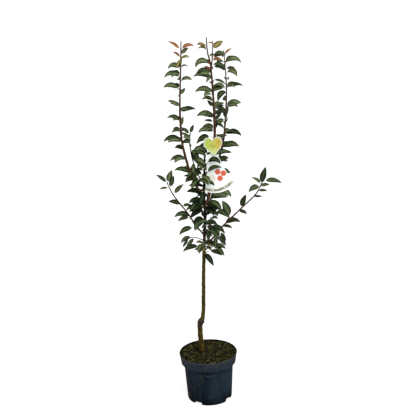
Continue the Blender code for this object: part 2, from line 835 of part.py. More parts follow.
def build_label(name, knots, centre, tilt, hang_height, hold, finish):
    """A printed plate, the strap that it hangs by, and the strap's loop round the shoot, as one solid."""
    plate = flat_outline(name, (knots,), finish)
    plate.data.transform(Matrix.Rotation(-tilt, 4, "Y"))
    plate.data.transform(Matrix.Translation(centre))
    place(plate, TREE, finish)
    band, band_centre, inner = band_round_shoot(f"{name}_band", hang_height)
    from_band = band_centre + Vector((0, -inner - 0.6 * BAND_THICKNESS, 0))
    to_plate = Vector((hold[0], centre[1] - LABEL_THICKNESS * 0.2, hold[1]))
    boolean(plate, strap(f"{name}_strap", from_band, to_plate), "UNION")
    boolean(plate, band, "UNION")
    return smooth(settle(plate, TREE, finish), 30)


def build_labels():
    heart = (HEART_CENTRE[0], HEART_PLANE, HEART_CENTRE[1])
    bell = (BELL_TOP[0], BELL_PLANE, BELL_TOP[1])
    build_label("heart_label", heart_knots(), heart, HEART_TILT, 1.168, (0.055, 1.160), LABEL_GREEN)
    build_label("bell_label", bell_knots(), bell, BELL_TILT, 1.134, (0.047, 1.108), LABEL_WHITE)


# Assembly
build_pot()
build_soil()
build_trunk()
trunk_clearance = limb_tube("trunk_clearance", TRUNK, GAP, TRUNK_ROUNDNESS)
for bough in BOUGHS:
    build_bough(bough, trunk_clearance)
wood_clearances = [trunk_clearance]
for bough in BOUGHS:
    wood_clearances.append(limb_tube(f"{bough.name}_clearance", bough, GAP, BOUGH_ROUNDNESS))
for mass in TUFTS:
    build_tuft(mass, wood_clearances)
build_labels()
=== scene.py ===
# %% [markdown]
# # A potted young pear tree
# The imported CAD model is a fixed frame: pot, compost, trunk, boughs and one solid
# for each tuft of leaves. This lesson keeps every size of that frame and gives
# each piece the surface, the twigs and the leaves that the real tree has.
# The frame is loaded first, because every later piece sits on it.

import math
import random
import re
from dataclasses import dataclass

import bpy
import numpy as np
from mathutils import Matrix, Vector, noise
from mathutils.geometry import interpolate_bezier


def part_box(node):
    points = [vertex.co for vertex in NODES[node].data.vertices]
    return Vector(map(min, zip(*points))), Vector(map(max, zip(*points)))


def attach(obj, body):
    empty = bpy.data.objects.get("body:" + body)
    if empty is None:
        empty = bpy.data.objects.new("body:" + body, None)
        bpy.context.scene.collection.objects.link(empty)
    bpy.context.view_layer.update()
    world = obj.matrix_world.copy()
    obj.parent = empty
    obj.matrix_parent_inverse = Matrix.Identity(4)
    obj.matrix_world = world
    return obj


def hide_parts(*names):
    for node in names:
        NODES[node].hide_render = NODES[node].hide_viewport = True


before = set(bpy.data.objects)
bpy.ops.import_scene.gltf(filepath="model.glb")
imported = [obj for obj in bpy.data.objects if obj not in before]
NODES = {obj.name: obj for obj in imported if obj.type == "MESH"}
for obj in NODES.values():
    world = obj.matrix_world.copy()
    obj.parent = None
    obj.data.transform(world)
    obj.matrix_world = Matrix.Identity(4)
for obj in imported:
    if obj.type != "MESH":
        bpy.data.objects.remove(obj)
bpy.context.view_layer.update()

# %% [markdown]
# The camera comes next. The tree's known height and the ellipses of the pot's rim
# give the camera's height, distance and tilt, and the trunk's lean in the frame
# gives a small roll. Setting the matrix from these angles is exact, where aiming
# by a constraint would lose the roll.

# %% Camera
CAMERA_PLACE = (0.0239, -3.2, 1.745)
CAMERA_PITCH = math.radians(15.17)
CAMERA_ROLL = math.radians(2.21)
CAMERA_ANGLE = math.radians(29.81)


def add_camera():
    data = bpy.data.cameras.new("front_camera")
    data.angle = CAMERA_ANGLE
    camera = bpy.data.objects.new("front_camera", data)
    bpy.context.scene.collection.objects.link(camera)
    level = Matrix.Rotation(math.pi / 2 - CAMERA_PITCH, 4, "X")
    roll = Matrix.Rotation(-CAMERA_ROLL, 4, "Z")
    camera.matrix_world = Matrix.Translation(CAMERA_PLACE) @ level @ roll
    bpy.context.scene.camera = camera
    return camera


print("camera:", add_camera().matrix_world.translation)

# %% [markdown]
# Surfaces that vary are written as arithmetic on sockets. One small class wraps a
# socket, so that `0.4 + 0.2 * grain` builds its Math nodes by itself. Wiring
# the nodes by hand would work too, but the sums would be hard to read.

# %% Shader arithmetic
class Wire:
    """A shader socket that takes part in Python sums."""

    def __init__(self, tree, socket):
        self.tree = tree
        self.socket = socket

    def sum(self, operation, *values):
        return add_node(self.tree, "ShaderNodeMath", {"operation": operation}, *values)

    def __add__(self, other):
        return self.sum("ADD", self, other)

    __radd__ = __add__

    def __sub__(self, other):
        return self.sum("SUBTRACT", self, other)

    def __rsub__(self, other):
        return self.sum("SUBTRACT", other, self)

    def __mul__(self, other):
        return self.sum("MULTIPLY", self, other)

    __rmul__ = __mul__

    def __pow__(self, other):
        return self.sum("POWER", self, other)


def add_node(tree, kind, settings, *values, out=0, **named):
    """One node: its settings first, then the values or links of its sockets."""
    made = tree.nodes.new(kind)
    for name, value in settings.items():
        setattr(made, name, value)
    pairs = list(zip(made.inputs, values))
    pairs += [(made.inputs[name.replace("_", " ")], value) for name, value in named.items()]
    for socket, value in pairs:
        if isinstance(value, Wire):
            tree.links.new(value.socket, socket)
        elif value is not None:
            socket.default_value = value
    return Wire(tree, made.outputs[out])


def mix(tree, factor, first, second):
    """A colour between two colours."""
    made = tree.nodes.new("ShaderNodeMix")
    made.data_type = "RGBA"
    for socket, value in ((made.inputs[0], factor), (made.inputs[6], first), (made.inputs[7], second)):
        if isinstance(value, Wire):
            tree.links.new(value.socket, socket)
        else:
            socket.default_value = value if isinstance(value, float) else (*value, 1)
    return Wire(tree, made.outputs[2])


def ramp(tree, value, low, high):
    """0 below low, 1 above high, and straight between."""
    return add_node(tree, "ShaderNodeMapRange", {}, value, low, high, 0.0, 1.0)


def new_material(name, roughness, specular=0.5):
    """A Principled material. Returns it with its tree and its shader node."""
    made = bpy.data.materials.new(name)
    made.use_nodes = True
    shader = made.node_tree.nodes["Principled BSDF"]
    shader.inputs["Roughness"].default_value = roughness
    shader.inputs["Specular IOR Level"].default_value = specular
    return made, made.node_tree, shader


def feed(tree, shader, name, value):
    tree.links.new(value.socket, shader.inputs[name])


def add_bump(tree, shader, height, strength, distance):
    bump = add_node(tree, "ShaderNodeBump", {}, Height=height, Strength=strength, Distance=distance)
    feed(tree, shader, "Normal", bump)


def place_of(tree):
    """The point being shaded, in metres in the tree's own frame."""
    return add_node(tree, "ShaderNodeTexCoord", {}, out=3)


def split(tree, place):
    """How far a place is to the right, to the back and above the ground."""
    parts = add_node(tree, "ShaderNodeSeparateXYZ", {}, place)
    return [Wire(tree, socket) for socket in parts.socket.node.outputs]


def grain(tree, place, scale, detail=3.0, stretch=(1, 1, 1)):
    """Soft noise from 0 to 1, with spots 1 / scale metres wide."""
    scaled = add_node(tree, "ShaderNodeMapping", {}, Vector=place, Scale=stretch)
    return add_node(tree, "ShaderNodeTexNoise", {}, Vector=scaled, Scale=scale, Detail=detail)


print("shader helpers are ready")

# %% [markdown]
# The pot is dark slate plastic, thin and lightly scuffed. The CAD shell already
# has the real lip, collar, lugs and drain pockets, so it keeps its shape and
# takes a material. Masks made from the height and the distance to the middle say
# where its colour changes: pale lip and lug edges, partly rubbed wear and partly
# painted highlight, scratched dust on the collar, painted shade under the collar
# and inside the lip, and painted shade low on the body and towards its sides.
# Paler upright patches of painted reflection and a fine moulded texture cover the
# rest.

# %% Pot material
POT_TOP = 0.215
COLLAR_SLOPE = 0.149
RIM_INSIDE = 0.1268
LUG_TURN = math.radians(2)
LUG_MIDDLE = 0.157
LUG_HALF_WIDTH = 0.022
LUG_HALF_HEIGHT = 0.012


def pot_plastic():
    made, tree, shader = new_material("pot_plastic", 0.55, specular=0.05)
    shader.inputs["IOR"].default_value = 1.2
    place = place_of(tree)
    across, along, height = split(tree, place)
    # Paler upright patches of painted reflection of the soft lights, which also vary the roughness.
    reflection_patches = ramp(tree, grain(tree, place, 14.0, 3.0, (1, 1, 0.3)), 0.36, 0.64)
    scuff = ramp(tree, grain(tree, place, 48.0, 5.0, (1, 1, 0.4)), 0.52, 0.70)
    dust = ramp(tree, height + 0.025 * grain(tree, place, 60.0, 4.0, (1, 1, 0.5)), 0.165, 0.225)
    scratch = ramp(tree, grain(tree, place, 150.0, 5.0, (1, 1, 1.6)), 0.42, 0.62)
    rubbed = ramp(tree, grain(tree, place, 62.0, 3.0, (1, 1, 1.5)), 0.40, 0.60)
    # Painted shade: darker low on the body and towards its left and right sides.
    low_side_shade = 1 - ramp(tree, height + 0.03 * reflection_patches - 5 * across * across, 0.010, 0.060)
    # Painted shade under the collar.
    under = ramp(tree, height, 0.155, 0.159) * (1 - ramp(tree, height, 0.170, 0.173))
    # Pale rubbed lip: partly wear, partly painted highlight.
    lip_rub_and_highlight = ramp(tree, height, 0.2110, 0.2125)
    aside = (across * math.cos(LUG_TURN) + along * math.sin(LUG_TURN)) * (1 / LUG_HALF_WIDTH)
    drop = (height - LUG_MIDDLE) * (1 / LUG_HALF_HEIGHT)
    oval = (aside * aside + drop * drop) ** 0.5
    # Pale rubbed lug edge: partly wear, partly painted highlight.
    lug_rub_and_highlight = ramp(tree, oval, 0.72, 0.84) * (1 - ramp(tree, oval, 1.0, 1.05)) * (1 - under)
    reach = (across * across + along * along) ** 0.5 - COLLAR_SLOPE * (height - POT_TOP)
    # Painted shade inside the lip.
    inner_lip_shade = ramp(tree, height, 0.200, 0.204) * (1 - ramp(tree, reach, RIM_INSIDE, RIM_INSIDE + 0.0008))
    # The colour: painted reflection patches and painted shade low down, then dust, scuffs, painted shade
    # under the collar, pale edges of wear and painted highlight, and painted shade inside the lip.
    base = mix(tree, reflection_patches, (0.0035, 0.0075, 0.0130), (0.0110, 0.0190, 0.0280))
    base = mix(tree, 0.8 * low_side_shade, base, (0.0015, 0.0030, 0.0045))
    wear_light_and_shade = mix(tree, dust * (0.2 + 0.4 * scratch + 0.4 * rubbed), base, (0.030, 0.038, 0.047))
    wear_light_and_shade = mix(tree, 0.34 * scuff, wear_light_and_shade, (0.040, 0.037, 0.029))
    wear_light_and_shade = mix(tree, under * (0.9 - 0.5 * reflection_patches), wear_light_and_shade, (0.0015, 0.0030, 0.0050))
    wear_light_and_shade = mix(tree, 0.5 * lip_rub_and_highlight + 0.8 * lug_rub_and_highlight, wear_light_and_shade, (0.066, 0.072, 0.074))
    feed(tree, shader, "Base Color", mix(tree, 0.9 * inner_lip_shade, wear_light_and_shade, (0.001, 0.002, 0.002)))
    feed(tree, shader, "Roughness", 0.48 + 0.22 * reflection_patches + 0.10 * scuff)
    add_bump(tree, shader, grain(tree, place, 900.0, 2.0), 0.25, 0.0004)
    return made


NODES["pot"].data.materials.clear()
NODES["pot"].data.materials.append(pot_plastic())

# %% [markdown]
# New meshes are written from lists of points and faces. One helper makes the
# object, gives it materials, hangs it on the tree's one body and hides the CAD
# nodes that it stands for.

# %% Piece helper
def add_piece(name, points, faces, materials, tones, nodes, smooth=True):
    """A mesh piece on the tree's one body. tones holds a material number for each face."""
    mesh = bpy.data.meshes.new(name)
    mesh.from_pydata([tuple(point) for point in points], [], faces)
    for made in materials:
        mesh.materials.append(made)
    mesh.polygons.foreach_set("material_index", tones)
    mesh.polygons.foreach_set("use_smooth", [smooth] * len(faces))
    mesh.update()
    piece = bpy.data.objects.new(name, mesh)
    bpy.context.scene.collection.objects.link(piece)
    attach(piece, "root")
    if nodes:
        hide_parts(*nodes)
    print(name, len(points), "points,", len(faces), "faces")
    return piece

# %% [markdown]
# Compost is crumbs of peat and moss with a few pale chips of bark. A disc of small
# cells is lifted by layered noise: large soft heaps, then crumbs, with a hollow
# round the trunk that is darkened with painted shade. A fine mesh shows a true
# crumbly edge against the pot's lip, where bump alone would look like paint.

# %% Compost
SOIL_LEVEL = 0.209
FOOT_PLACE = (-0.028, 0.041)
SOIL_RINGS = 90
SOIL_SIDES = 300
SOIL_HEAP = 0.0030
SOIL_CRUMB = 0.0050
HEAP_SCALE = 30
CRUMB_SCALE = 120
FINE_SCALE = 380
HOLLOW_DEPTH = 0.005
HOLLOW_REACH = 0.014
HOLLOW_WIDTH = 0.012


def compost():
    made, tree, shader = new_material("mossy_compost", 0.95, specular=0.05)
    place = place_of(tree)
    moss = ramp(tree, grain(tree, place, 45.0, 3.0), 0.42, 0.58)
    crumb = ramp(tree, grain(tree, place, 140.0, 3.0), 0.44, 0.58)
    peat = mix(tree, crumb, (0.0010, 0.0010, 0.0007), (0.030, 0.019, 0.010))
    green = mix(tree, crumb, (0.0014, 0.0018, 0.0007), (0.044, 0.049, 0.011))
    chips = ramp(tree, grain(tree, place, 165.0, 2.0), 0.61, 0.66)
    base = mix(tree, 0.8 * chips, mix(tree, moss, peat, green), (0.19, 0.17, 0.065))
    across, along, _ = split(tree, place)
    across = across - FOOT_PLACE[0] + 0.007
    along = along - FOOT_PLACE[1] + 0.009
    # Painted shade in the hollow round the trunk's foot.
    hollow = 1 - ramp(tree, (across * across + along * along) ** 0.5, 0.014, 0.038)
    feed(tree, shader, "Base Color", mix(tree, 0.9 * hollow, base, (0.002, 0.002, 0.0015)))
    add_bump(tree, shader, crumb, 0.9, 0.003)
    return made


def soil_height(x, y):
    away = math.hypot(x - FOOT_PLACE[0], y - FOOT_PLACE[1])
    hollow = -HOLLOW_DEPTH * math.exp(-(((away - HOLLOW_REACH) / HOLLOW_WIDTH) ** 2))
    heap = noise.noise(Vector((x, y, 0.3)) * HEAP_SCALE) * SOIL_HEAP
    crumb = abs(noise.noise(Vector((x, y, 0.7)) * CRUMB_SCALE)) * SOIL_CRUMB
    fine = noise.noise(Vector((x, y, 1.1)) * FINE_SCALE) * SOIL_CRUMB * 0.5
    return SOIL_LEVEL + hollow + heap + crumb + fine - 0.001


def build_soil():
    low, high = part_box("soil")
    radius = (high.x - low.x) / 2
    points, faces = [(0, 0, soil_height(0, 0))], []
    for ring in range(1, SOIL_RINGS + 1):
        reach = radius * ring / SOIL_RINGS
        for side in range(SOIL_SIDES):
            turn = math.tau * side / SOIL_SIDES
            x, y = reach * math.cos(turn), reach * math.sin(turn)
            points.append((x, y, soil_height(x, y)))
    skirt = len(points)
    for side in range(SOIL_SIDES):
        turn = math.tau * side / SOIL_SIDES
        points.append((radius * 0.985 * math.cos(turn), radius * 0.985 * math.sin(turn), SOIL_LEVEL - 0.02))
    for side in range(SOIL_SIDES):
        after = (side + 1) % SOIL_SIDES
        faces.append((0, 1 + side, 1 + after))
        for ring in range(SOIL_RINGS):
            inner = 1 + ring * SOIL_SIDES
            outer = inner + SOIL_SIDES
            faces.append((inner + side, outer + side, outer + after, inner + after))
    faces.append(tuple(range(skirt, skirt + SOIL_SIDES))[::-1])
    return add_piece("compost", points, faces, [compost()], [0] * len(faces), ["soil"])


build_soil()

# %% [markdown]
# Every limb follows a smooth curve through a few stops, the same ones as in the
# CAD part. A limb is a name, its stops and two radii. Its wood tapers along the
# way, and its leaves are placed by their distance along the same curve.

# %% Limb courses
TAPER = 1.6


@dataclass
class Limb:
    """A tapering limb along a smooth course."""

    name: str
    stops: tuple
    foot_radius: float
    tip_radius: float

    def __post_init__(self):
        self.points = smooth_course(self.stops)
        steps = np.linalg.norm(np.diff(self.points, axis=0), axis=1)
        self.travel = np.concatenate([[0], np.cumsum(steps)])
        self.length = self.travel[-1]

    def at(self, distance):
        return Vector([np.interp(distance, self.travel, axis) for axis in self.points.T])

    def direction(self, distance):
        ahead = self.at(min(distance + 0.01, self.length)) - self.at(max(distance - 0.01, 0))
        return ahead.normalized()

    def radius(self, distance):
        share = min(1.0, distance / self.length)
        return self.foot_radius + (self.tip_radius - self.foot_radius) * share**TAPER


def smooth_course(stops, per_stop=24):
    """Points on a curve that passes through each stop without a corner."""
    stops = np.array(stops, float)
    ends = np.vstack([2 * stops[0] - stops[1], stops, 2 * stops[-1] - stops[-2]])
    found = []
    for i in range(1, len(ends) - 2):
        before, here, there, after = ends[i - 1 : i + 3]
        for share in np.linspace(0, 1, per_stop, endpoint=False):
            first = 2 * here + (there - before) * share
            second = (2 * before - 5 * here + 4 * there - after) * share**2
            third = (3 * here - before - 3 * there + after) * share**3
            found.append(0.5 * (first + second + third))
    found.append(ends[-2])
    return np.array(found)


print("points on a course of three stops:", len(smooth_course(((0, 0, 0), (0, 0, 1), (0, 1, 2)))))

# %% [markdown]
# The trunk is two trees in one: a thick rootstock that flares at the compost, and
# the slimmer pear that was grafted on it, with a swelling where they joined. Its
# radius is worked out from the height, in place of a plain taper.

# %% Trunk course
GRAFT_HEIGHT = 0.342
STOCK_RADIUS = 0.0112
SCION_RADIUS = 0.0090
SCION_TAPER = 1.3
GRAFT_STEP = 0.02
FLARE = 0.0022
FLARE_HEIGHT = 0.018
SWELLING = 0.0030
SWELLING_HEIGHT = 0.016


class Trunk(Limb):
    """A flared rootstock, a swollen graft, and a slimmer scion up to the pruned leader."""

    def radius(self, distance):
        height = self.at(distance).z
        above = height - SOIL_LEVEL
        flare = FLARE * math.exp(-((above / FLARE_HEIGHT) ** 2))
        swelling = SWELLING * math.exp(-(((height - GRAFT_HEIGHT) / SWELLING_HEIGHT) ** 2))
        if height < GRAFT_HEIGHT:
            share = above / (GRAFT_HEIGHT - SOIL_LEVEL)
            straight = self.foot_radius + (STOCK_RADIUS - self.foot_radius) * share
        else:
            share = (height - GRAFT_HEIGHT) / (self.points[-1][2] - GRAFT_HEIGHT)
            step = 1 - min(1, (height - GRAFT_HEIGHT) / GRAFT_STEP)
            straight = SCION_RADIUS + (STOCK_RADIUS - SCION_RADIUS) * step
            straight += (self.tip_radius - SCION_RADIUS) * share**SCION_TAPER
        return straight + flare + swelling


TRUNK = Trunk(
    "trunk",
    (
        (*FOOT_PLACE, SOIL_LEVEL - 0.02),
        (*FOOT_PLACE, SOIL_LEVEL + 0.01),
        (-0.033, 0.038, 0.300),
        (-0.030, 0.036, 0.338),
        (-0.017, 0.034, 0.372),
        (-0.012, 0.032, 0.441),
        (-0.008, 0.027, 0.530),
        (-0.004, 0.022, 0.624),
        (0.004, 0.015, 0.750),
        (0.010, 0.010, 0.845),
        (0.009, 0.005, 0.930),
        (0.014, 0.002, 1.030),
        (0.019, 0.000, 1.115),
    ),
    0.0118,
    0.0038,
)
print("trunk:", round(TRUNK.length, 3), "m long")

# %% [markdown]
# Three long shoots rise from the head of the trunk, and the middle one forks near
# its tip. Two branches spread low down to the left and right, one leans back and
# one forward, and a short inner shoot and two spurs fill the crown. Each is a few
# stops that were chosen, with the radius at its foot and at its tip.

# %% Boughs
TOP = 1.587
LEFT_SHOOT = Limb(
    "left_shoot",
    (
        (0.009, 0.005, 0.955),
        (-0.014, -0.004, 0.963),
        (-0.045, -0.014, 1.039),
        (-0.071, -0.023, 1.157),
        (-0.075, -0.033, 1.250),
        (-0.073, -0.041, 1.340),
        (-0.065, -0.050, 1.450),
        (-0.057, -0.060, 1.578),
    ),
    0.0056,
    0.0023,
)
MIDDLE_SHOOT = Limb(
    "middle_shoot",
    (
        (0.009, 0.008, 0.885),
        (0.026, 0.003, 0.915),
        (0.037, 0.001, 0.985),
        (0.049, 0.001, 1.063),
        (0.063, -0.002, 1.175),
        (0.064, -0.005, 1.293),
        (0.061, -0.007, 1.396),
        (0.056, -0.010, 1.480),
        (0.046, -0.013, 1.528),
        (0.043, -0.015, TOP),
    ),
    0.0070,
    0.0023,
)
MIDDLE_FORK = Limb(
    "middle_fork",
    ((0.057, -0.009, 1.455), (0.064, -0.004, 1.500), (0.066, 0.000, 1.535), (0.068, 0.002, 1.572)),
    0.0030,
    0.0016,
)
RIGHT_SHOOT = Limb(
    "right_shoot",
    (
        (0.010, 0.004, 0.960),
        (0.040, 0.020, 1.005),
        (0.072, 0.030, 1.070),
        (0.096, 0.042, 1.140),
        (0.109, 0.055, 1.225),
        (0.118, 0.069, 1.323),
        (0.120, 0.084, 1.403),
        (0.114, 0.100, 1.527),
    ),
    0.0048,
    0.0020,
)
LEFT_BRANCH = Limb(
    "left_branch",
    (
        (0.004, 0.015, 0.752),
        (-0.032, 0.033, 0.794),
        (-0.065, 0.052, 0.844),
        (-0.122, 0.071, 0.920),
        (-0.150, 0.088, 0.977),
    ),
    0.0037,
    0.0022,
)
RIGHT_BRANCH = Limb(
    "right_branch",
    (
        (0.002, 0.017, 0.712),
        (0.042, -0.006, 0.747),
        (0.079, -0.029, 0.799),
        (0.166, -0.053, 0.888),
        (0.224, -0.076, 0.951),
        (0.251, -0.094, 1.006),
    ),
    0.0041,
    0.0024,
)
BACK_BRANCH = Limb(
    "back_branch",
    (
        (0.008, 0.012, 0.800),
        (0.018, 0.070, 0.835),
        (0.040, 0.140, 0.890),
        (0.062, 0.195, 0.955),
        (0.074, 0.225, 1.035),
    ),
    0.0030,
    0.0011,
)
FRONT_BRANCH = Limb(
    "front_branch",
    ((0.006, 0.014, 0.775), (0.016, -0.050, 0.795), (0.026, -0.110, 0.825), (0.034, -0.170, 0.880)),
    0.0028,
    0.0011,
)
LOW_LEFT_SPUR = Limb(
    "low_left_spur",
    ((0.002, 0.017, 0.728), (-0.028, 0.004, 0.746), (-0.054, -0.010, 0.752), (-0.074, -0.022, 0.742)),
    0.0022,
    0.0010,
)
LOW_RIGHT_SPUR = Limb(
    "low_right_spur",
    ((0.000, 0.018, 0.690), (0.030, 0.002, 0.700), (0.060, -0.019, 0.721)),
    0.0022,
    0.0010,
)
INNER_SHOOT = Limb(
    "inner_shoot",
    (
        (0.012, 0.003, 0.985),
        (-0.012, 0.012, 1.020),
        (-0.034, 0.015, 1.090),
        (-0.041, 0.015, 1.150),
        (-0.038, 0.017, 1.200),
    ),
    0.0030,
    0.0015,
)
BOUGHS = (
    LEFT_SHOOT,
    MIDDLE_SHOOT,
    MIDDLE_FORK,
    RIGHT_SHOOT,
    LEFT_BRANCH,
    RIGHT_BRANCH,
    BACK_BRANCH,
    FRONT_BRANCH,
    LOW_LEFT_SPUR,
    LOW_RIGHT_SPUR,
    INNER_SHOOT,
)
print("boughs:", {bough.name: round(bough.length, 3) for bough in BOUGHS})

# %% [markdown]
# Bark is thin on so young a tree. The trunk has zones, told apart by height: a
# yellow brown rootstock, a scarred graft, and an olive scion that is darkened by
# painted shade in the crown, where the leaves shade it, with dark patches over
# them all. The shoots are smooth and red brown.
# One finish for the trunk and one for the shoots keeps each zone's edge soft.

# %% Bark finishes
# Painted shade of the leaves darkens the scion from this height up.
CROWN_SHADE_FOOT = 0.69
UNION_LOW = 0.322
UNION_HIGH = 0.352


def trunk_bark():
    made, tree, shader = new_material("trunk_bark", 0.8, specular=0.05)
    place = place_of(tree)
    streak = grain(tree, place, 320.0, 4.0, (1, 1, 0.12))
    blotch = grain(tree, place, 45.0, 3.0, (1, 1, 0.5))
    _, _, height = split(tree, place)
    stock = 1 - ramp(tree, height, GRAFT_HEIGHT - 0.02, GRAFT_HEIGHT + 0.015)
    scion = mix(tree, blotch, (0.020, 0.020, 0.002), (0.105, 0.094, 0.008))
    root = mix(tree, blotch, (0.028, 0.018, 0.003), (0.150, 0.105, 0.014))
    union = mix(tree, streak, (0.010, 0.008, 0.006), (0.075, 0.052, 0.042))
    # Painted shade of the leaves on the scion in the crown.
    crown_shade = mix(tree, blotch, (0.004, 0.003, 0.002), (0.026, 0.016, 0.010))
    scion = mix(tree, ramp(tree, height, CROWN_SHADE_FOOT, CROWN_SHADE_FOOT + 0.06), scion, crown_shade)
    base = mix(tree, stock, scion, root)
    near = ramp(tree, height, UNION_LOW - 0.004, UNION_LOW)
    near = near - ramp(tree, height, UNION_HIGH, UNION_HIGH + 0.012)
    base = mix(tree, near, base, union)
    patch = ramp(tree, grain(tree, place, 90.0, 4.0, (1, 1, 0.5)), 0.50, 0.58)
    base = mix(tree, 0.75 * patch, base, (0.004, 0.003, 0.002))
    feed(tree, shader, "Base Color", mix(tree, 0.5 * streak, base, (0.012, 0.009, 0.004)))
    feed(tree, shader, "Roughness", 0.60 + 0.25 * streak)
    add_bump(tree, shader, streak, 0.5, 0.0008)
    return made


def shoot_bark():
    made, tree, shader = new_material("shoot_bark", 0.55, specular=0.08)
    place = place_of(tree)
    streak = grain(tree, place, 260.0, 3.0, (1, 1, 0.2))
    speck = ramp(tree, grain(tree, place, 700.0, 1.0), 0.66, 0.72)
    base = mix(tree, streak, (0.022, 0.011, 0.006), (0.085, 0.040, 0.018))
    feed(tree, shader, "Base Color", mix(tree, 0.4 * speck, base, (0.16, 0.10, 0.06)))
    feed(tree, shader, "Roughness", 0.45 + 0.2 * streak)
    add_bump(tree, shader, streak, 0.4, 0.0005)
    return made


TRUNK_BARK = trunk_bark()
SHOOT_BARK = shoot_bark()
print("bark finishes:", TRUNK_BARK.name, SHOOT_BARK.name)

# %% [markdown]
# The wood of each limb is a tube of many small cells round its course. The tube
# carries the relief that bump can't: low lumps, a rounded end, and a knob at each
# old bud, a fixed part of a turn from the one before, as on the real shoots.

# %% Bark tubes
NODE_SPACING = 0.029
DIVERGENCE = math.radians(144)
KNOB_HALF_LENGTH = 0.0026
KNOB_RELIEF = 1.65
LUMP_SCALE = 60


def side_axes(forward):
    """Two directions across a limb: towards +X and away from the front, as near as it can."""
    side = Vector((0, 1, 0)).cross(forward)
    if side.length < 0.05:
        side = Vector((1, 0, 0)).cross(forward)
    side.normalize()
    return side, forward.cross(side)


def bark_tube(limb, start, end, sides, step, relief, finish, nodes):
    """A limb's wood with lumps, bud knobs and a rounded end."""
    count = max(4, round((end - start) / step))
    points, faces = [], []
    for ring in range(count + 1):
        distance = start + (end - start) * ring / count
        centre = limb.at(distance)
        side, back = side_axes(limb.direction(distance))
        radius = limb.radius(distance)
        if ring == count:
            radius *= 0.7
        for number in range(sides):
            turn = math.tau * number / sides
            outward = side * math.cos(turn) + back * math.sin(turn)
            lump = noise.noise((centre + outward * radius) * LUMP_SCALE)
            bud = (distance / NODE_SPACING) % 1
            knob = math.exp(-(((bud - 0.5) * NODE_SPACING / KNOB_HALF_LENGTH) ** 2))
            bud_turn = math.floor(distance / NODE_SPACING) * DIVERGENCE
            facing = max(0.0, math.cos(turn - bud_turn)) ** 3
            swell = 1 + relief * (lump + KNOB_RELIEF * knob * facing)
            points.append(centre + outward * radius * swell)
    for ring in range(count):
        for number in range(sides):
            after = (number + 1) % sides
            low, high = ring * sides, (ring + 1) * sides
            faces.append((low + number, low + after, high + after, high + number))
    faces.append(tuple(range(sides))[::-1])
    faces.append(tuple(range(count * sides, (count + 1) * sides)))
    tones = [0] * len(faces)
    return add_piece(f"{limb.name}_wood", points, faces, [finish], tones, nodes)


bark_tube(TRUNK, 0.012, TRUNK.length, 28, 0.003, 0.17, TRUNK_BARK, ["trunk"])
for bough in BOUGHS:
    stands_for = [] if bough is MIDDLE_FORK else [bough.name]
    bark_tube(bough, 0.0, bough.length, 10, 0.004, 0.16, SHOOT_BARK, stands_for)

# %% [markdown]
# Leaves are dealt out by colour. A grown pear leaf is lighter towards the midrib,
# partly as its midrib is paler and partly as painted light, and darker at its
# margin and beneath with painted shade. Whole leaves come in shaded and lit copies
# of one green, which are painted shade and painted light. The youngest are bronze
# or yellow green. Each tint is a plain base colour on its own faces, since a
# pattern would smear when the joined leaves are baked.

# %% Leaf tints
# The darkest green and the green beneath are painted shade; the two palest greens are partly painted light,
# beside the leaf's own paler midrib.
TINTS = {
    "leaf_shaded_green": (0.006, 0.014, 0.003),
    "leaf_green": (0.032, 0.052, 0.016),
    "leaf_lit_green": (0.078, 0.106, 0.037),
    "leaf_lit_pale": (0.140, 0.170, 0.080),
    "leaf_shaded_beneath": (0.024, 0.035, 0.014),
    "leaf_bronze_deep": (0.100, 0.035, 0.014),
    "leaf_bronze": (0.260, 0.090, 0.030),
    "leaf_orange": (0.420, 0.170, 0.070),
    "leaf_lime_deep": (0.070, 0.062, 0.016),
    "leaf_lime": (0.170, 0.150, 0.040),
    "leaf_lime_pale": (0.270, 0.240, 0.075),
}
# Each tone lists the tints of margin, blade, midrib and underside. The darkest tone is a shaded copy and
# the lightest a lit copy of the green one: painted shade and painted light.
TONES = {
    "shaded": ("leaf_shaded_green", "leaf_shaded_green", "leaf_green", "leaf_shaded_beneath"),
    "green": ("leaf_shaded_green", "leaf_green", "leaf_lit_green", "leaf_shaded_beneath"),
    "light": ("leaf_green", "leaf_lit_green", "leaf_lit_pale", "leaf_shaded_beneath"),
    "bronze": ("leaf_bronze_deep", "leaf_bronze", "leaf_orange", "leaf_orange"),
    "lime": ("leaf_lime_deep", "leaf_lime", "leaf_lime_pale", "leaf_lime"),
}


def leaf_finish(name, colour):
    made, tree, shader = new_material(name, 0.5, specular=0.12)
    shader.inputs["Base Color"].default_value = (*colour, 1)
    vein = grain(tree, place_of(tree), 500.0, 2.0)
    feed(tree, shader, "Roughness", 0.45 + 0.2 * vein)
    add_bump(tree, shader, vein, 0.35, 0.0005)
    return made


LEAF_FINISHES = {name: leaf_finish(name, colour) for name, colour in TINTS.items()}
print("leaf tints:", len(LEAF_FINISHES))

# %% [markdown]
# Hundreds of leaves as single objects would slow every later step. Leaves of one
# kind are gathered as points, faces and tints, and become one mesh at the end.

# %% Leaves of one kind


class Foliage:
    """Points, faces and tints of many leaves of one kind, gathered for one piece."""

    def __init__(self, name, slot, nodes):
        self.name = name
        self.slot = slot
        self.nodes = nodes
        self.points = []
        self.faces = []
        self.tints = []
        self.used = []
        self.count = 0

    def tint(self, name):
        if name not in self.used:
            self.used.append(name)
        return self.used.index(name)

    def add_face(self, corners, tint):
        self.faces.append(tuple(corners))
        self.tints.append(self.tint(tint))

    def finish(self):
        finishes = [LEAF_FINISHES[name] for name in self.used]
        print(self.name, "leaves:", self.count)
        return add_piece(self.name, self.points, self.faces, finishes, self.tints, self.nodes)


print("kinds of leaf tone:", list(TONES))

# %% [markdown]
# A pear leaf is a stalk and a pointed oval blade that arches over, so that it
# shows as a crescent from the side. It is grown along a curved midrib rather than
# bent afterwards, because the droop is what gives each leaf its outline.

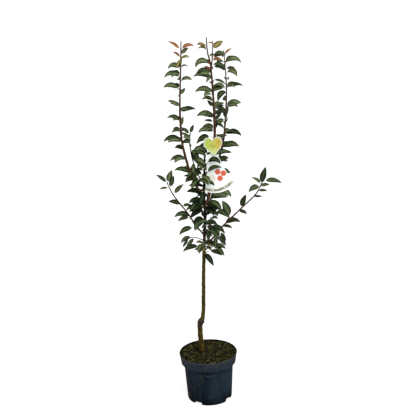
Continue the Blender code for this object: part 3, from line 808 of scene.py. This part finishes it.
# %% Leaf course
ALONG = 8
STALK_STEPS = 3
FULLEST = 0.78
TIP_TAPER = 0.18
UP = Vector((0, 0, 1))


def half_width(share):
    """An oval that is widest before its middle and ends in a point."""
    if not 0 < share < 1:
        return 0.0
    return math.sin(math.pi * share**FULLEST) ** 0.85 * (1 - TIP_TAPER * share)


@dataclass
class LeafShape:
    """How one leaf grows: sizes in metres, angles in radians."""

    length: float
    width: float
    stalk: float
    lift: float
    droop: float
    fold: float
    roll: float
    sweep: float
    tone: str


def midrib_course(root, outward, shape):
    """Points and headings along the stalk and the blade's midrib."""
    level = Vector((outward.x, outward.y, 0)).normalized()
    aside = Vector((-level.y, level.x, 0))
    places, headings = [root.copy()], []
    for number in range(STALK_STEPS + ALONG):
        on_blade = number >= STALK_STEPS
        share = (number - STALK_STEPS + 0.5) / ALONG if on_blade else 0
        pitch = shape.lift - shape.droop * share
        swing = shape.sweep * share
        ground = level * math.cos(swing) + aside * math.sin(swing)
        headings.append(ground * math.cos(pitch) + UP * math.sin(pitch))
        span = shape.length / ALONG if on_blade else shape.stalk / STALK_STEPS
        places.append(places[-1] + headings[-1] * span)
    headings.append(headings[-1])
    return places, headings


print("half widths along a blade:", [round(half_width(row / ALONG), 2) for row in range(ALONG + 1)])

# %% [markdown]
# The blade is folded along its midrib. It is a small net of points, twice: an
# upper face and, a hair below, a lower one that shares its margin and on grown
# leaves is darkened with painted shade. The strips beside the midrib and along the
# margin have their own tints, a paler midrib and a margin darkened with painted
# shade, so a few faces are enough for a leaf that looks veined from afar.

# %% One leaf
STRIPS = (0.0, 0.16, 0.58, 1.0)
CUPPING = 0.22
BLADE_THICKNESS = 0.0004
STALK_RADIUS = 0.0007
STALK_SIDES = 4


def add_stalk(foliage, places, headings, tint):
    start = len(foliage.points)
    for place, heading in zip(places[: STALK_STEPS + 1], headings):
        side, back = side_axes(heading)
        for number in range(STALK_SIDES):
            turn = math.tau * number / STALK_SIDES
            foliage.points.append(place + (side * math.cos(turn) + back * math.sin(turn)) * STALK_RADIUS)
    for ring in range(STALK_STEPS):
        for number in range(STALK_SIDES):
            after = (number + 1) % STALK_SIDES
            low, high = start + ring * STALK_SIDES, start + (ring + 1) * STALK_SIDES
            foliage.add_face((low + number, low + after, high + after, high + number), tint)
    end = start + STALK_STEPS * STALK_SIDES
    foliage.add_face((start + 3, start + 2, start + 1, start), tint)
    foliage.add_face((end, end + 1, end + 2, end + 3), tint)


def add_leaf(foliage, root, outward, shape):
    """Adds one leaf at root, facing outward."""
    # The margin tint and, on grown leaves, the tint beneath carry painted shade.
    margin, blade, rib, beneath = TONES[shape.tone]
    places, headings = midrib_course(root, outward, shape)
    add_stalk(foliage, places, headings, rib)
    columns = [-share for share in STRIPS[:0:-1]] + list(STRIPS)
    last = len(columns) - 1
    upper, lower = [], []
    for row in range(ALONG + 1):
        centre, heading = places[STALK_STEPS + row], headings[STALK_STEPS + row]
        side = heading.cross(UP).normalized()
        top = side.cross(heading)
        side = Matrix.Rotation(shape.roll, 3, heading) @ side
        top = Matrix.Rotation(shape.roll, 3, heading) @ top
        width = shape.width / 2 * half_width(row / ALONG)
        upper_row, lower_row = [], []
        for number, column in enumerate(columns):
            rise = abs(column) * math.sin(shape.fold) - CUPPING * column**2
            point = centre + side * (column * math.cos(shape.fold) * width) + top * (rise * width)
            edge = number in (0, last) or row in (0, ALONG)
            if row in (0, ALONG) and number:
                upper_row.append(upper_row[0])
                lower_row.append(upper_row[0])
                continue
            upper_row.append(len(foliage.points))
            foliage.points.append(point)
            if edge:
                lower_row.append(upper_row[-1])
            else:
                lower_row.append(len(foliage.points))
                foliage.points.append(point - top * BLADE_THICKNESS)
        upper.append(upper_row)
        lower.append(lower_row)
    tints = (margin, blade, rib, rib, blade, margin)
    for row in range(ALONG):
        for number in range(last):
            here, after = upper[row], upper[row + 1]
            quad = (here[number], here[number + 1], after[number + 1], after[number])
            foliage.add_face(dict.fromkeys(quad), tints[number])
            here, after = lower[row], lower[row + 1]
            under = (here[number], after[number], after[number + 1], here[number + 1])
            foliage.add_face(dict.fromkeys(under), beneath)
    foliage.count += 1


print("faces in one leaf:", 2 * ALONG * 2 * (len(STRIPS) - 1) + STALK_STEPS * STALK_SIDES + 2)

# %% [markdown]
# Each tuft of the frame is a stretch of limb with a bud every 11.5 mm. Its plan
# has a few rows of buds from the foot upwards, and says which way each leaf
# faces, as keys lie on a number pad seen from above: 4 left, 6 right, 2 to the
# front, 8 to the back, odd keys between those, and a dot for a bare bud. A sign
# after it gives the leaf's habit: + rises, ^ stands up, = lies flat, - hangs,
# _ hangs straight down, and a comma arches right over. A colon marks a leaf of
# middling size, and an apostrophe a small one. The plans were judged one by one:
# leaves to the left and right give the crown its outline, and leaves to the front
# and back give it depth. Leaves scattered by chance alone would close the gaps
# that the tree has. The letters after a plan are its tones, darker low down as
# painted shade and lighter at the top as painted light. A ripening row deals them
# out in order up to the tip, as young growth does, and other rows by chance. A
# row with a spur bears its leaves on short twigs, and lead is how far those lean
# to the front.

# %% Bud plans
TONE_OF = {"d": "shaded", "g": "green", "l": "light", "y": "lime", "b": "bronze"}
# Tone mixes for rows: the darker ones, low in the crown, are painted shade and the lighter ones, at the
# top, painted light.
LIT_TONES = "glll"
HALF_LIT_TONES = "ggll"
SHADED_TONES = "ddgg"


@dataclass
class Row:
    """A row of buds on a limb. first is the number of its lowest bud."""

    first: int
    buds: str
    tones: str = "dggl"
    ripening: bool = False
    spur: float = 0.0
    lead: float = 0.0


TUFTS = (
    ("left_shoot_mass_1", LEFT_SHOOT, (
        Row(3, "4'...4'.4....4...4'"),
        Row(5, "3.1'3'"),
        Row(7, "9'.7....1...7:", LIT_TONES),
    )),
    ("left_shoot_mass_2", LEFT_SHOOT, (
        Row(21, "4...1'...4:"),
        Row(21, "3'.6-'...9^'....6"),
        Row(21, "7:...7'...1'..9'", LIT_TONES),
        Row(21, "1.......7'..3'", LIT_TONES),
        Row(24, "8:...8'", SHADED_TONES),
    )),
    ("left_shoot_mass_3", LEFT_SHOOT, (
        Row(34, "4+:.....4", LIT_TONES),
        Row(38, "9+'....6'", LIT_TONES),
        Row(34, "7:.....7..9'", LIT_TONES),
        Row(40, "1..3:", LIT_TONES),
        Row(37, "8:.....8:", LIT_TONES),
    )),
    ("left_shoot_tip", LEFT_SHOOT, (
        Row(44, "4,..4,", "ll"),
        Row(51, "6'9+'", "yl", True),
        Row(54, "6:", "b", True),
        Row(51, "7+'..4+:", "bb", True),
        Row(51, "1_'2_'", "y"),
        Row(44, "7,..7", "ll"),
        Row(45, "1:..9'", "gl"),
        Row(48, "8:", "l"),
    )),
    ("middle_shoot_mass_1", MIDDLE_SHOOT, (
        Row(1, "6=:3-9=", SHADED_TONES),
        Row(4, "6=", "l"),
        Row(6, "9..8..8...9..6..7.9", SHADED_TONES),
    )),
    ("middle_shoot_mass_2", MIDDLE_SHOOT, (
        Row(28, "4...4='4...7+'", HALF_LIT_TONES),
        Row(26, "4-", SHADED_TONES, spur=0.020),
        Row(29, "9^'.3-'9+'.6:"),
        Row(29, "7:9:..7:8:..9:", LIT_TONES),
        Row(28, "1:..3:.1:", LIT_TONES),
    )),
    ("middle_shoot_mass_3", MIDDLE_SHOOT, (
        Row(39, "4,:..4....4.4", LIT_TONES),
        Row(45, "6-'.6-:", SHADED_TONES),
        Row(49, "1_'", "l"),
        Row(39, "7:..7:9:.8:.7'.7'", LIT_TONES),
        Row(41, "1:..3:...1:.8'", LIT_TONES),
    )),
    ("middle_shoot_tip", MIDDLE_SHOOT, (
        Row(52, "7:..9'", "lg"),
        Row(50, "7+'.7+'....4'4+'4='", "bbbyyb", True),
        Row(52, "4,", "l"),
        Row(60, "6-'", "b"),
    )),
    ("middle_shoot_tip", MIDDLE_FORK, (Row(1, "3-:6-:6'6'6:.9+:", "dgbbgyy", True),)),
    ("right_shoot_mass_1", RIGHT_SHOOT, (
        Row(11, "6:...6='6"),
        Row(9, "8...7..4'.7^'"),
        Row(11, "7:....9", LIT_TONES),
    )),
    ("right_shoot_mass_2", RIGHT_SHOOT, (
        Row(24, "1:..4-'.2-'..4-'1-:"),
        Row(21, "6.....8^'9^'..66='"),
        Row(21, "9:...8...7:.9:.8:", LIT_TONES),
        Row(21, "3:.....2:...3:", LIT_TONES),
    )),
    ("right_shoot_mass_3", RIGHT_SHOOT, (
        Row(37, "1-4-", LIT_TONES),
        Row(38, "6", "d"),
        Row(36, "7:.9..8'", LIT_TONES),
        Row(38, "3:..2'", LIT_TONES),
    )),
    ("right_shoot_tip", RIGHT_SHOOT, (
        Row(44, "8:..9.8'", "gl"),
        Row(47, "3:", "l"),
        Row(43, "3,.1:.1:", "lg"),
        Row(45, "6='.6,..9+'", "gllllb", True),
    )),
    ("left_branch_mass_1", LEFT_BRANCH, (
        Row(8, "4", HALF_LIT_TONES),
        Row(3, "4-", "g", spur=0.014),
        Row(7, "2-4-:9+....6='", HALF_LIT_TONES),
    )),
    ("left_branch_tip", LEFT_BRANCH, (
        Row(14, "7=.......4='", HALF_LIT_TONES),
        Row(19, "9+:", LIT_TONES),
        Row(22, "9^:.9^:", LIT_TONES),
        Row(24, "4+:", HALF_LIT_TONES),
    )),
    ("right_branch_mass_1", RIGHT_BRANCH, (
        Row(6, "2_:...2-:6-'6", SHADED_TONES),
        Row(7, "3_:3_'", "d", spur=0.016),
    )),
    ("right_branch_mass_2", RIGHT_BRANCH, (Row(16, "7^...6-'9^:", SHADED_TONES),)),
    ("right_branch_tip", RIGHT_BRANCH, (
        Row(28, "6='..6='.1-:9^6=", SHADED_TONES),
        Row(33, "9='7+:", "l"),
    )),
    ("back_branch_mass_1", BACK_BRANCH, (
        Row(6, "6-:.8.4.9", SHADED_TONES),
        Row(5, "6-", spur=0.042),
    )),
    ("back_branch_tip", BACK_BRANCH, (
        Row(13, "6,", spur=0.030),
        Row(13, "4.7.9.6.8.6.7.9"),
    )),
    ("front_branch_tip", FRONT_BRANCH, (Row(7, "3-.2-.1:.3-.1:.2:3'", SHADED_TONES),)),
    ("low_left_mass", LOW_LEFT_SPUR, (
        Row(4, "4_:1_'.4_'"),
        Row(5, "4-:", "gg"),
    )),
    ("low_right_mass", LOW_RIGHT_SPUR, (
        Row(3, "9='.6_:"),
        Row(4, "6-:", "gl"),
    )),
    ("inner_shoot_mass", INNER_SHOOT, (Row(1, "1-1=3-.2-'1-:.1_'2_3-6,", HALF_LIT_TONES),)),
    ("inner_shoot_tip", INNER_SHOOT, (
        Row(10, "3-3,6,3_:3_:.4'.4+'9^'", LIT_TONES),
        Row(17, "1-'.4+'", HALF_LIT_TONES),
        Row(16, "2-'.2-'2-'", HALF_LIT_TONES),
    )),
    ("trunk_mass_1", TRUNK, (
        Row(43, "3_...3-:", SHADED_TONES),
        Row(44, "4='1-'3-'", "yyl"),
        Row(44, "4-", "dg", spur=0.020),
        Row(42, "6-:", spur=0.022),
        Row(42, "8-:...9-'", SHADED_TONES),
        Row(45, "2-'7='", "yl"),
        Row(45, "3-'1_'.2_:", "lly"),
        Row(46, "1-:", "l"),
    )),
    ("trunk_mass_2", TRUNK, (
        Row(55, "1-4-:.44-", SHADED_TONES),
        Row(50, "3-'.6-3-.3-:.6+", SHADED_TONES),
        Row(50, "8:..9:..8:", SHADED_TONES),
    )),
    ("trunk_mass_3", TRUNK, (
        Row(59, "14-44...4=", SHADED_TONES),
        Row(60, "7-.1-1-'", SHADED_TONES),
        Row(59, "6-:3-:3-3-'", SHADED_TONES),
        Row(68, "4'9'"),
        Row(58, "9.8...7.2-", SHADED_TONES),
    )),
    ("leader_mass", TRUNK, (
        Row(70, "3-'..6...6,", spur=0.010, lead=0.020),
        Row(72, "7.9'.2-'1-'"),
        Row(71, "8..4'8:"),
    )),
)


def buds_of(row):
    """A row's plan cut into buds, each a facing or a dot, then a habit and a size."""
    return re.findall(r"[.1-9][-+,^=_]?[:']?", row.buds)


ROWS = [row for _, _, rows in TUFTS for row in rows]
print("rows:", len(ROWS), "leaves:", sum(bud != "." for row in ROWS for bud in buds_of(row)))

# %% [markdown]
# A seeded generator varies the place, size, arch, fold and tone of every leaf, as
# no two on a tree are alike. Each row has its own seed, so a change to one row
# leaves the others as they are. A leaf that faces the front or the back is turned
# a little to one side, so that it isn't seen edge-on.

# %% Leaves on the buds
SEED = 1
BUD_SPACING = 0.0115
LEAF_LENGTH = 0.071
LEAF_WIDTH = 0.035
LEAF_STALK = 0.012
YOUNG_WIDTH = 0.85
LEAF_SIZE = {"": 1.0, ":": 0.76, "'": 0.56}
FACING = {"6": 0, "9": 38, "8": 90, "7": 142, "4": 180, "1": 218, "2": 270, "3": 322}
LIFT = {
    "": (36, 52),
    ",": (44, 58),
    "+": (42, 54),
    "^": (62, 78),
    "=": (12, 26),
    "-": (0, 18),
    "_": (-52, -36),
}
DROOP = {
    "": (72, 98),
    ",": (110, 138),
    "+": (20, 45),
    "^": (5, 30),
    "=": (30, 55),
    "-": (58, 84),
    "_": (8, 30),
}
LIGHT_TURN = {"": 42, ",": 42, "+": 46, "^": 55, "=": 40, "-": 40, "_": 50}
SIZE_RANGE = (0.92, 1.06)
WIDTH_RANGE = (0.85, 1.1)
STALK_RANGE = (0.7, 1.4)
FOLD_RANGE = (8, 34)
ROLL_SPREAD = 9
SWEEP_RANGE = (-20, 20)
PLACE_RANGE = (-0.2, 0.2)
FACING_RANGE = (-18, 18)
SPUR_RANGE = (0.7, 1.2)
SIDE_TURN = math.radians(40)
SIDELONG = 0.4


def leaf_shape(rng, row, share, outward, habit, mark):
    """One leaf's sizes, angles and tone."""
    size = rng.uniform(*SIZE_RANGE) * LEAF_SIZE[mark]
    tone = rng.choice(row.tones)
    if row.ripening:
        tone = row.tones[int(len(row.tones) * share)]
    slim = YOUNG_WIDTH if tone == "b" else 1.0
    return LeafShape(
        length=LEAF_LENGTH * size,
        width=LEAF_WIDTH * slim * size * rng.uniform(*WIDTH_RANGE),
        stalk=LEAF_STALK * size * rng.uniform(*STALK_RANGE),
        lift=math.radians(rng.uniform(*LIFT[habit])),
        droop=math.radians(rng.uniform(*DROOP[habit])),
        fold=math.radians(rng.uniform(*FOLD_RANGE)),
        roll=math.radians(rng.gauss(0, ROLL_SPREAD) + LIGHT_TURN[habit] * outward.x),
        sweep=math.radians(rng.uniform(*SWEEP_RANGE)),
        tone=TONE_OF[tone],
    )


def grow_row(node, limb, row, foliage, twigs):
    """Leaves on one row of buds. Those on spurs have their spurs added to twigs."""
    rng = random.Random(f"{SEED} {node} {row.first} {row.buds}")
    buds = buds_of(row)
    for index, bud in enumerate(buds):
        if bud == ".":
            continue
        mark = bud[-1] if bud[-1] in LEAF_SIZE else ""
        facing, habit = bud[0], bud[1:].rstrip(":'")
        distance = (row.first + index + rng.uniform(*PLACE_RANGE)) * BUD_SPACING
        distance = min(distance, limb.length)
        turn = math.radians(FACING[facing] + rng.uniform(*FACING_RANGE))
        outward = Vector((math.cos(turn), math.sin(turn), 0))
        root = limb.at(distance)
        if row.spur:
            tip = root + (0.9 * outward + 0.4 * UP) * row.spur * rng.uniform(*SPUR_RANGE)
            tip.y -= row.lead
            twigs.append((root, tip))
            root = tip
        shape = leaf_shape(rng, row, index / len(buds), outward, habit, mark)
        if abs(outward.x) < SIDELONG:
            shape.roll += SIDE_TURN if index % 2 else -SIDE_TURN
        add_leaf(foliage[shape.tone], root, outward, shape)


def grow_crown():
    young_nodes = dict.fromkeys(node for node, _, rows in TUFTS if any(row.ripening for row in rows))
    grown_nodes = dict.fromkeys(node for node, _, _ in TUFTS if node not in young_nodes)
    grown = Foliage("grown_leaves", "leaves", list(grown_nodes))
    bronze = Foliage("bronze_leaves", "young_leaves", list(young_nodes))
    lime = Foliage("yellow_green_leaves", "young_leaves", [])
    kinds = {"shaded": grown, "green": grown, "light": grown, "bronze": bronze, "lime": lime}
    twigs = []
    for node, limb, rows in TUFTS:
        for row in rows:
            grow_row(node, limb, row, kinds, twigs)
    for foliage in (grown, bronze, lime):
        foliage.finish()
    return twigs


SPURS = grow_crown()

# %% [markdown]
# The spurs are short stout twigs, ringed where each year's growth began. All of
# them join into one piece, since they share one bark.

# %% Spurs
SPUR_SIDES = 8
SPUR_RINGS = 10
SPUR_RADIUS = 0.0019


def build_spurs(spurs):
    points, faces = [], []
    for root, tip in spurs:
        start = len(points)
        side, back = side_axes((tip - root).normalized())
        for ring in range(SPUR_RINGS + 1):
            share = ring / SPUR_RINGS
            radius = SPUR_RADIUS * (1.1 - 0.35 * share + 0.12 * math.cos(share * 6 * math.pi))
            for number in range(SPUR_SIDES):
                turn = math.tau * number / SPUR_SIDES
                outward = side * math.cos(turn) + back * math.sin(turn)
                points.append(root.lerp(tip, share) + outward * radius)
        for ring in range(SPUR_RINGS):
            for number in range(SPUR_SIDES):
                after = (number + 1) % SPUR_SIDES
                low, high = start + ring * SPUR_SIDES, start + (ring + 1) * SPUR_SIDES
                faces.append((low + number, low + after, high + after, high + number))
        end = start + SPUR_RINGS * SPUR_SIDES
        faces.append(tuple(range(start, start + SPUR_SIDES))[::-1])
        faces.append(tuple(range(end, end + SPUR_SIDES)))
    return add_piece("spur_twigs", points, faces, [SHOOT_BARK], [0] * len(faces), [])


build_spurs(SPURS)

# %% [markdown]
# Two printed plastic labels hang on the middle shoot. The CAD plates have the
# real outlines, so they stay. The prints are generic: soft fields of colour, a
# few plain rounds and a mottled band, made from distances in the plate's own
# plane. An image would do the same, but sums stay sharp at any distance.

# %% Label finishes
RED_ROUNDS = (((0.070, 1.036), 0.012), ((0.094, 1.029), 0.012), ((0.079, 1.008), 0.012))
CREAM_ROUND = ((0.044, 1.008), 0.017)
OLIVE_ROUNDS = (
    ((0.046, 1.150), 0.0028),
    ((0.053, 1.145), 0.0034),
    ((0.061, 1.146), 0.0028),
    ((0.077, 1.163), 0.0040),
)
BAND_CENTRE = (0.052, 1.058)
BAND_REACH = 0.107
BAND_DEPTH = 0.012


def spot(tree, place, centre, radius, soft=0.002):
    """1 inside a round spot on the plate, 0 outside."""
    across, _, height = split(tree, place)
    across = across - centre[0]
    up = height - centre[1]
    away = (across * across + up * up) ** 0.5
    return 1 - ramp(tree, away, radius - soft, radius + soft)


def pale_plastic():
    """The plates' unprinted edge."""
    made, tree, shader = new_material("label_pale_plastic", 0.35, specular=0.3)
    clouded = grain(tree, place_of(tree), 120.0)
    feed(tree, shader, "Base Color", mix(tree, clouded, (0.44, 0.47, 0.36), (0.54, 0.58, 0.48)))
    return made


def heart_print():
    made, tree, shader = new_material("heart_label_print", 0.35, specular=0.3)
    place = place_of(tree)
    across, _, height = split(tree, place)
    gold = ramp(tree, across + 0.03 * grain(tree, place, 60.0), 0.045, 0.085)
    base = mix(tree, gold, (0.33, 0.46, 0.07), (0.45, 0.36, 0.05))
    pale = 1 - ramp(tree, height + 0.012 * grain(tree, place, 90.0), 1.125, 1.150)
    colour = mix(tree, 0.75 * pale, base, (0.50, 0.62, 0.28))
    for centre, radius in OLIVE_ROUNDS:
        colour = mix(tree, 0.7 * spot(tree, place, centre, radius), colour, (0.16, 0.14, 0.02))
    feed(tree, shader, "Base Color", colour)
    return made


def bell_print():
    made, tree, shader = new_material("bell_label_print", 0.35, specular=0.3)
    place = place_of(tree)
    across, _, height = split(tree, place)
    base = mix(tree, grain(tree, place, 40.0), (0.73, 0.78, 0.74), (0.81, 0.84, 0.80))
    colour = mix(tree, spot(tree, place, *CREAM_ROUND), base, (0.66, 0.62, 0.52))
    red = mix(tree, grain(tree, place, 70.0), (0.50, 0.03, 0.03), (0.62, 0.16, 0.06))
    for centre, radius in RED_ROUNDS:
        colour = mix(tree, spot(tree, place, centre, radius), colour, red)
    outer = spot(tree, place, BAND_CENTRE, BAND_REACH)
    band = outer - spot(tree, place, BAND_CENTRE, BAND_REACH - BAND_DEPTH)
    fleck = ramp(tree, grain(tree, place, 150.0, 2.0), 0.42, 0.60)
    below = 1 - ramp(tree, height, 0.985, 1.000)
    right_end = ramp(tree, across, 0.122, 0.134)
    mottled = mix(tree, fleck, (0.09, 0.10, 0.05), (0.55, 0.55, 0.42))
    mottled = mix(tree, right_end, mottled, (0.20, 0.38, 0.08))
    feed(tree, shader, "Base Color", mix(tree, band * below, colour, mottled))
    return made


for name, finish in (("heart_label", pale_plastic()), ("bell_label", bell_print())):
    NODES[name].data.materials.clear()
    NODES[name].data.materials.append(finish)
    print(name, "takes", finish.name)

# %% [markdown]
# The heart's print stops short of its edge and leaves a pale border. A mask could
# draw that border only as a blur, so the print is a thin heart of its own that
# lies on the plate, with an outline of six smooth curves.

# %% Heart print
HEART_CENTRE = Vector((0.0555, -0.022, 1.1438))
HEART_WIDTH = 0.079
HEART_HEIGHT = 0.082
HEART_TILT = math.radians(4)
PRINT_INSET = 0.87
PRINT_BACK = -0.0003
PRINT_FRONT = -0.0008


def heart_outline(scale):
    """Points round a heart: notch, right lobe, point and left lobe, on smooth curves."""
    half, tall = HEART_WIDTH / 2 * scale, HEART_HEIGHT * scale
    knots = (
        ((0, 0.30), (-0.12, 0.44), (0.12, 0.44)),
        ((0.56, 0.50), (0.30, 0.50), (0.84, 0.50)),
        ((1.0, 0.20), (1.0, 0.38), (1.0, -0.04)),
        ((0, -0.50), (0.22, -0.34), (-0.22, -0.34)),
        ((-1.0, 0.20), (-1.0, -0.04), (-1.0, 0.38)),
        ((-0.56, 0.50), (-0.84, 0.50), (-0.30, 0.50)),
    )
    found = []
    for here, after in zip(knots, knots[1:] + knots[:1]):
        corners = [Vector((x * half, 0, z * tall)) for x, z in (here[0], here[2], after[1], after[0])]
        found += interpolate_bezier(*corners, 12)[:-1]
    return found


def build_heart_print():
    turn = Matrix.Rotation(-HEART_TILT, 3, "Y")
    outline = [turn @ point + HEART_CENTRE for point in heart_outline(PRINT_INSET)]
    count = len(outline)
    points = [point + Vector((0, depth, 0)) for depth in (PRINT_FRONT, PRINT_BACK) for point in outline]
    faces = [tuple(range(count)), tuple(range(count, 2 * count))[::-1]]
    for number in range(count):
        after = (number + 1) % count
        faces.append((number, number + count, after + count, after))
    tones = [0] * len(faces)
    finishes = [heart_print()]
    return add_piece("heart_label_print", points, faces, finishes, tones, [], smooth=False)


build_heart_print()

# %% [markdown]
# The tree stands on a pale floor in soft even light. A wide, weak key from the
# upper right shapes the leaves, and a white sky fills the shadows. The floor
# glows a little, as a light table does, so that the ground reads as pure white
# with hardly a shadow, as in a studio.

# %% Stage and light
FLOOR_REACH = 300.0
FLOOR_COLOUR = (0.3, 0.3, 0.3)
FLOOR_GLOW = 0.80
KEY_PLACE = (1.2, -2.2, 3.6)
KEY_STRENGTH = 3.0
KEY_SPREAD = 60
SKY_HORIZON = 1.1
SKY_ABOVE = 0.45


def add_floor():
    mesh = bpy.data.meshes.new("floor")
    corners = [(x * FLOOR_REACH, y * FLOOR_REACH, 0) for x, y in ((-1, -1), (1, -1), (1, 1), (-1, 1))]
    mesh.from_pydata(corners, [], [(0, 1, 2, 3)])
    floor = bpy.data.objects.new("floor", mesh)
    bpy.context.scene.collection.objects.link(floor)
    made, _, shader = new_material("pale_floor", 0.9)
    shader.inputs["Base Color"].default_value = (*FLOOR_COLOUR, 1)
    shader.inputs["Emission Color"].default_value = (1.0, 1.0, 1.0, 1)
    shader.inputs["Emission Strength"].default_value = FLOOR_GLOW
    mesh.materials.append(made)


def add_sun(name, place, strength, spread):
    """A sun that shines from place towards the origin, with soft shadows."""
    data = bpy.data.lights.new(name, "SUN")
    data.energy = strength
    data.angle = math.radians(spread)
    light = bpy.data.objects.new(name, data)
    light.location = place
    light.rotation_euler = (-Vector(place)).to_track_quat("-Z", "Y").to_euler()
    bpy.context.scene.collection.objects.link(light)


def add_sky(horizon, above):
    """A white sky that is brighter at the horizon, where it meets the floor."""
    world = bpy.data.worlds.new("white_sky")
    world.use_nodes = True
    tree = world.node_tree
    _, _, up = split(tree, add_node(tree, "ShaderNodeTexCoord", {}, out=0))
    rise = ramp(tree, up, 0.05, 0.30)
    background = tree.nodes["Background"]
    background.inputs["Color"].default_value = (1, 1, 1, 1)
    tree.links.new((horizon + (above - horizon) * rise).socket, background.inputs["Strength"])
    bpy.context.scene.world = world


add_floor()
add_sun("key", KEY_PLACE, KEY_STRENGTH, KEY_SPREAD)
add_sky(SKY_HORIZON, SKY_ABOVE)
bpy.context.scene.view_settings.view_transform = "Standard"
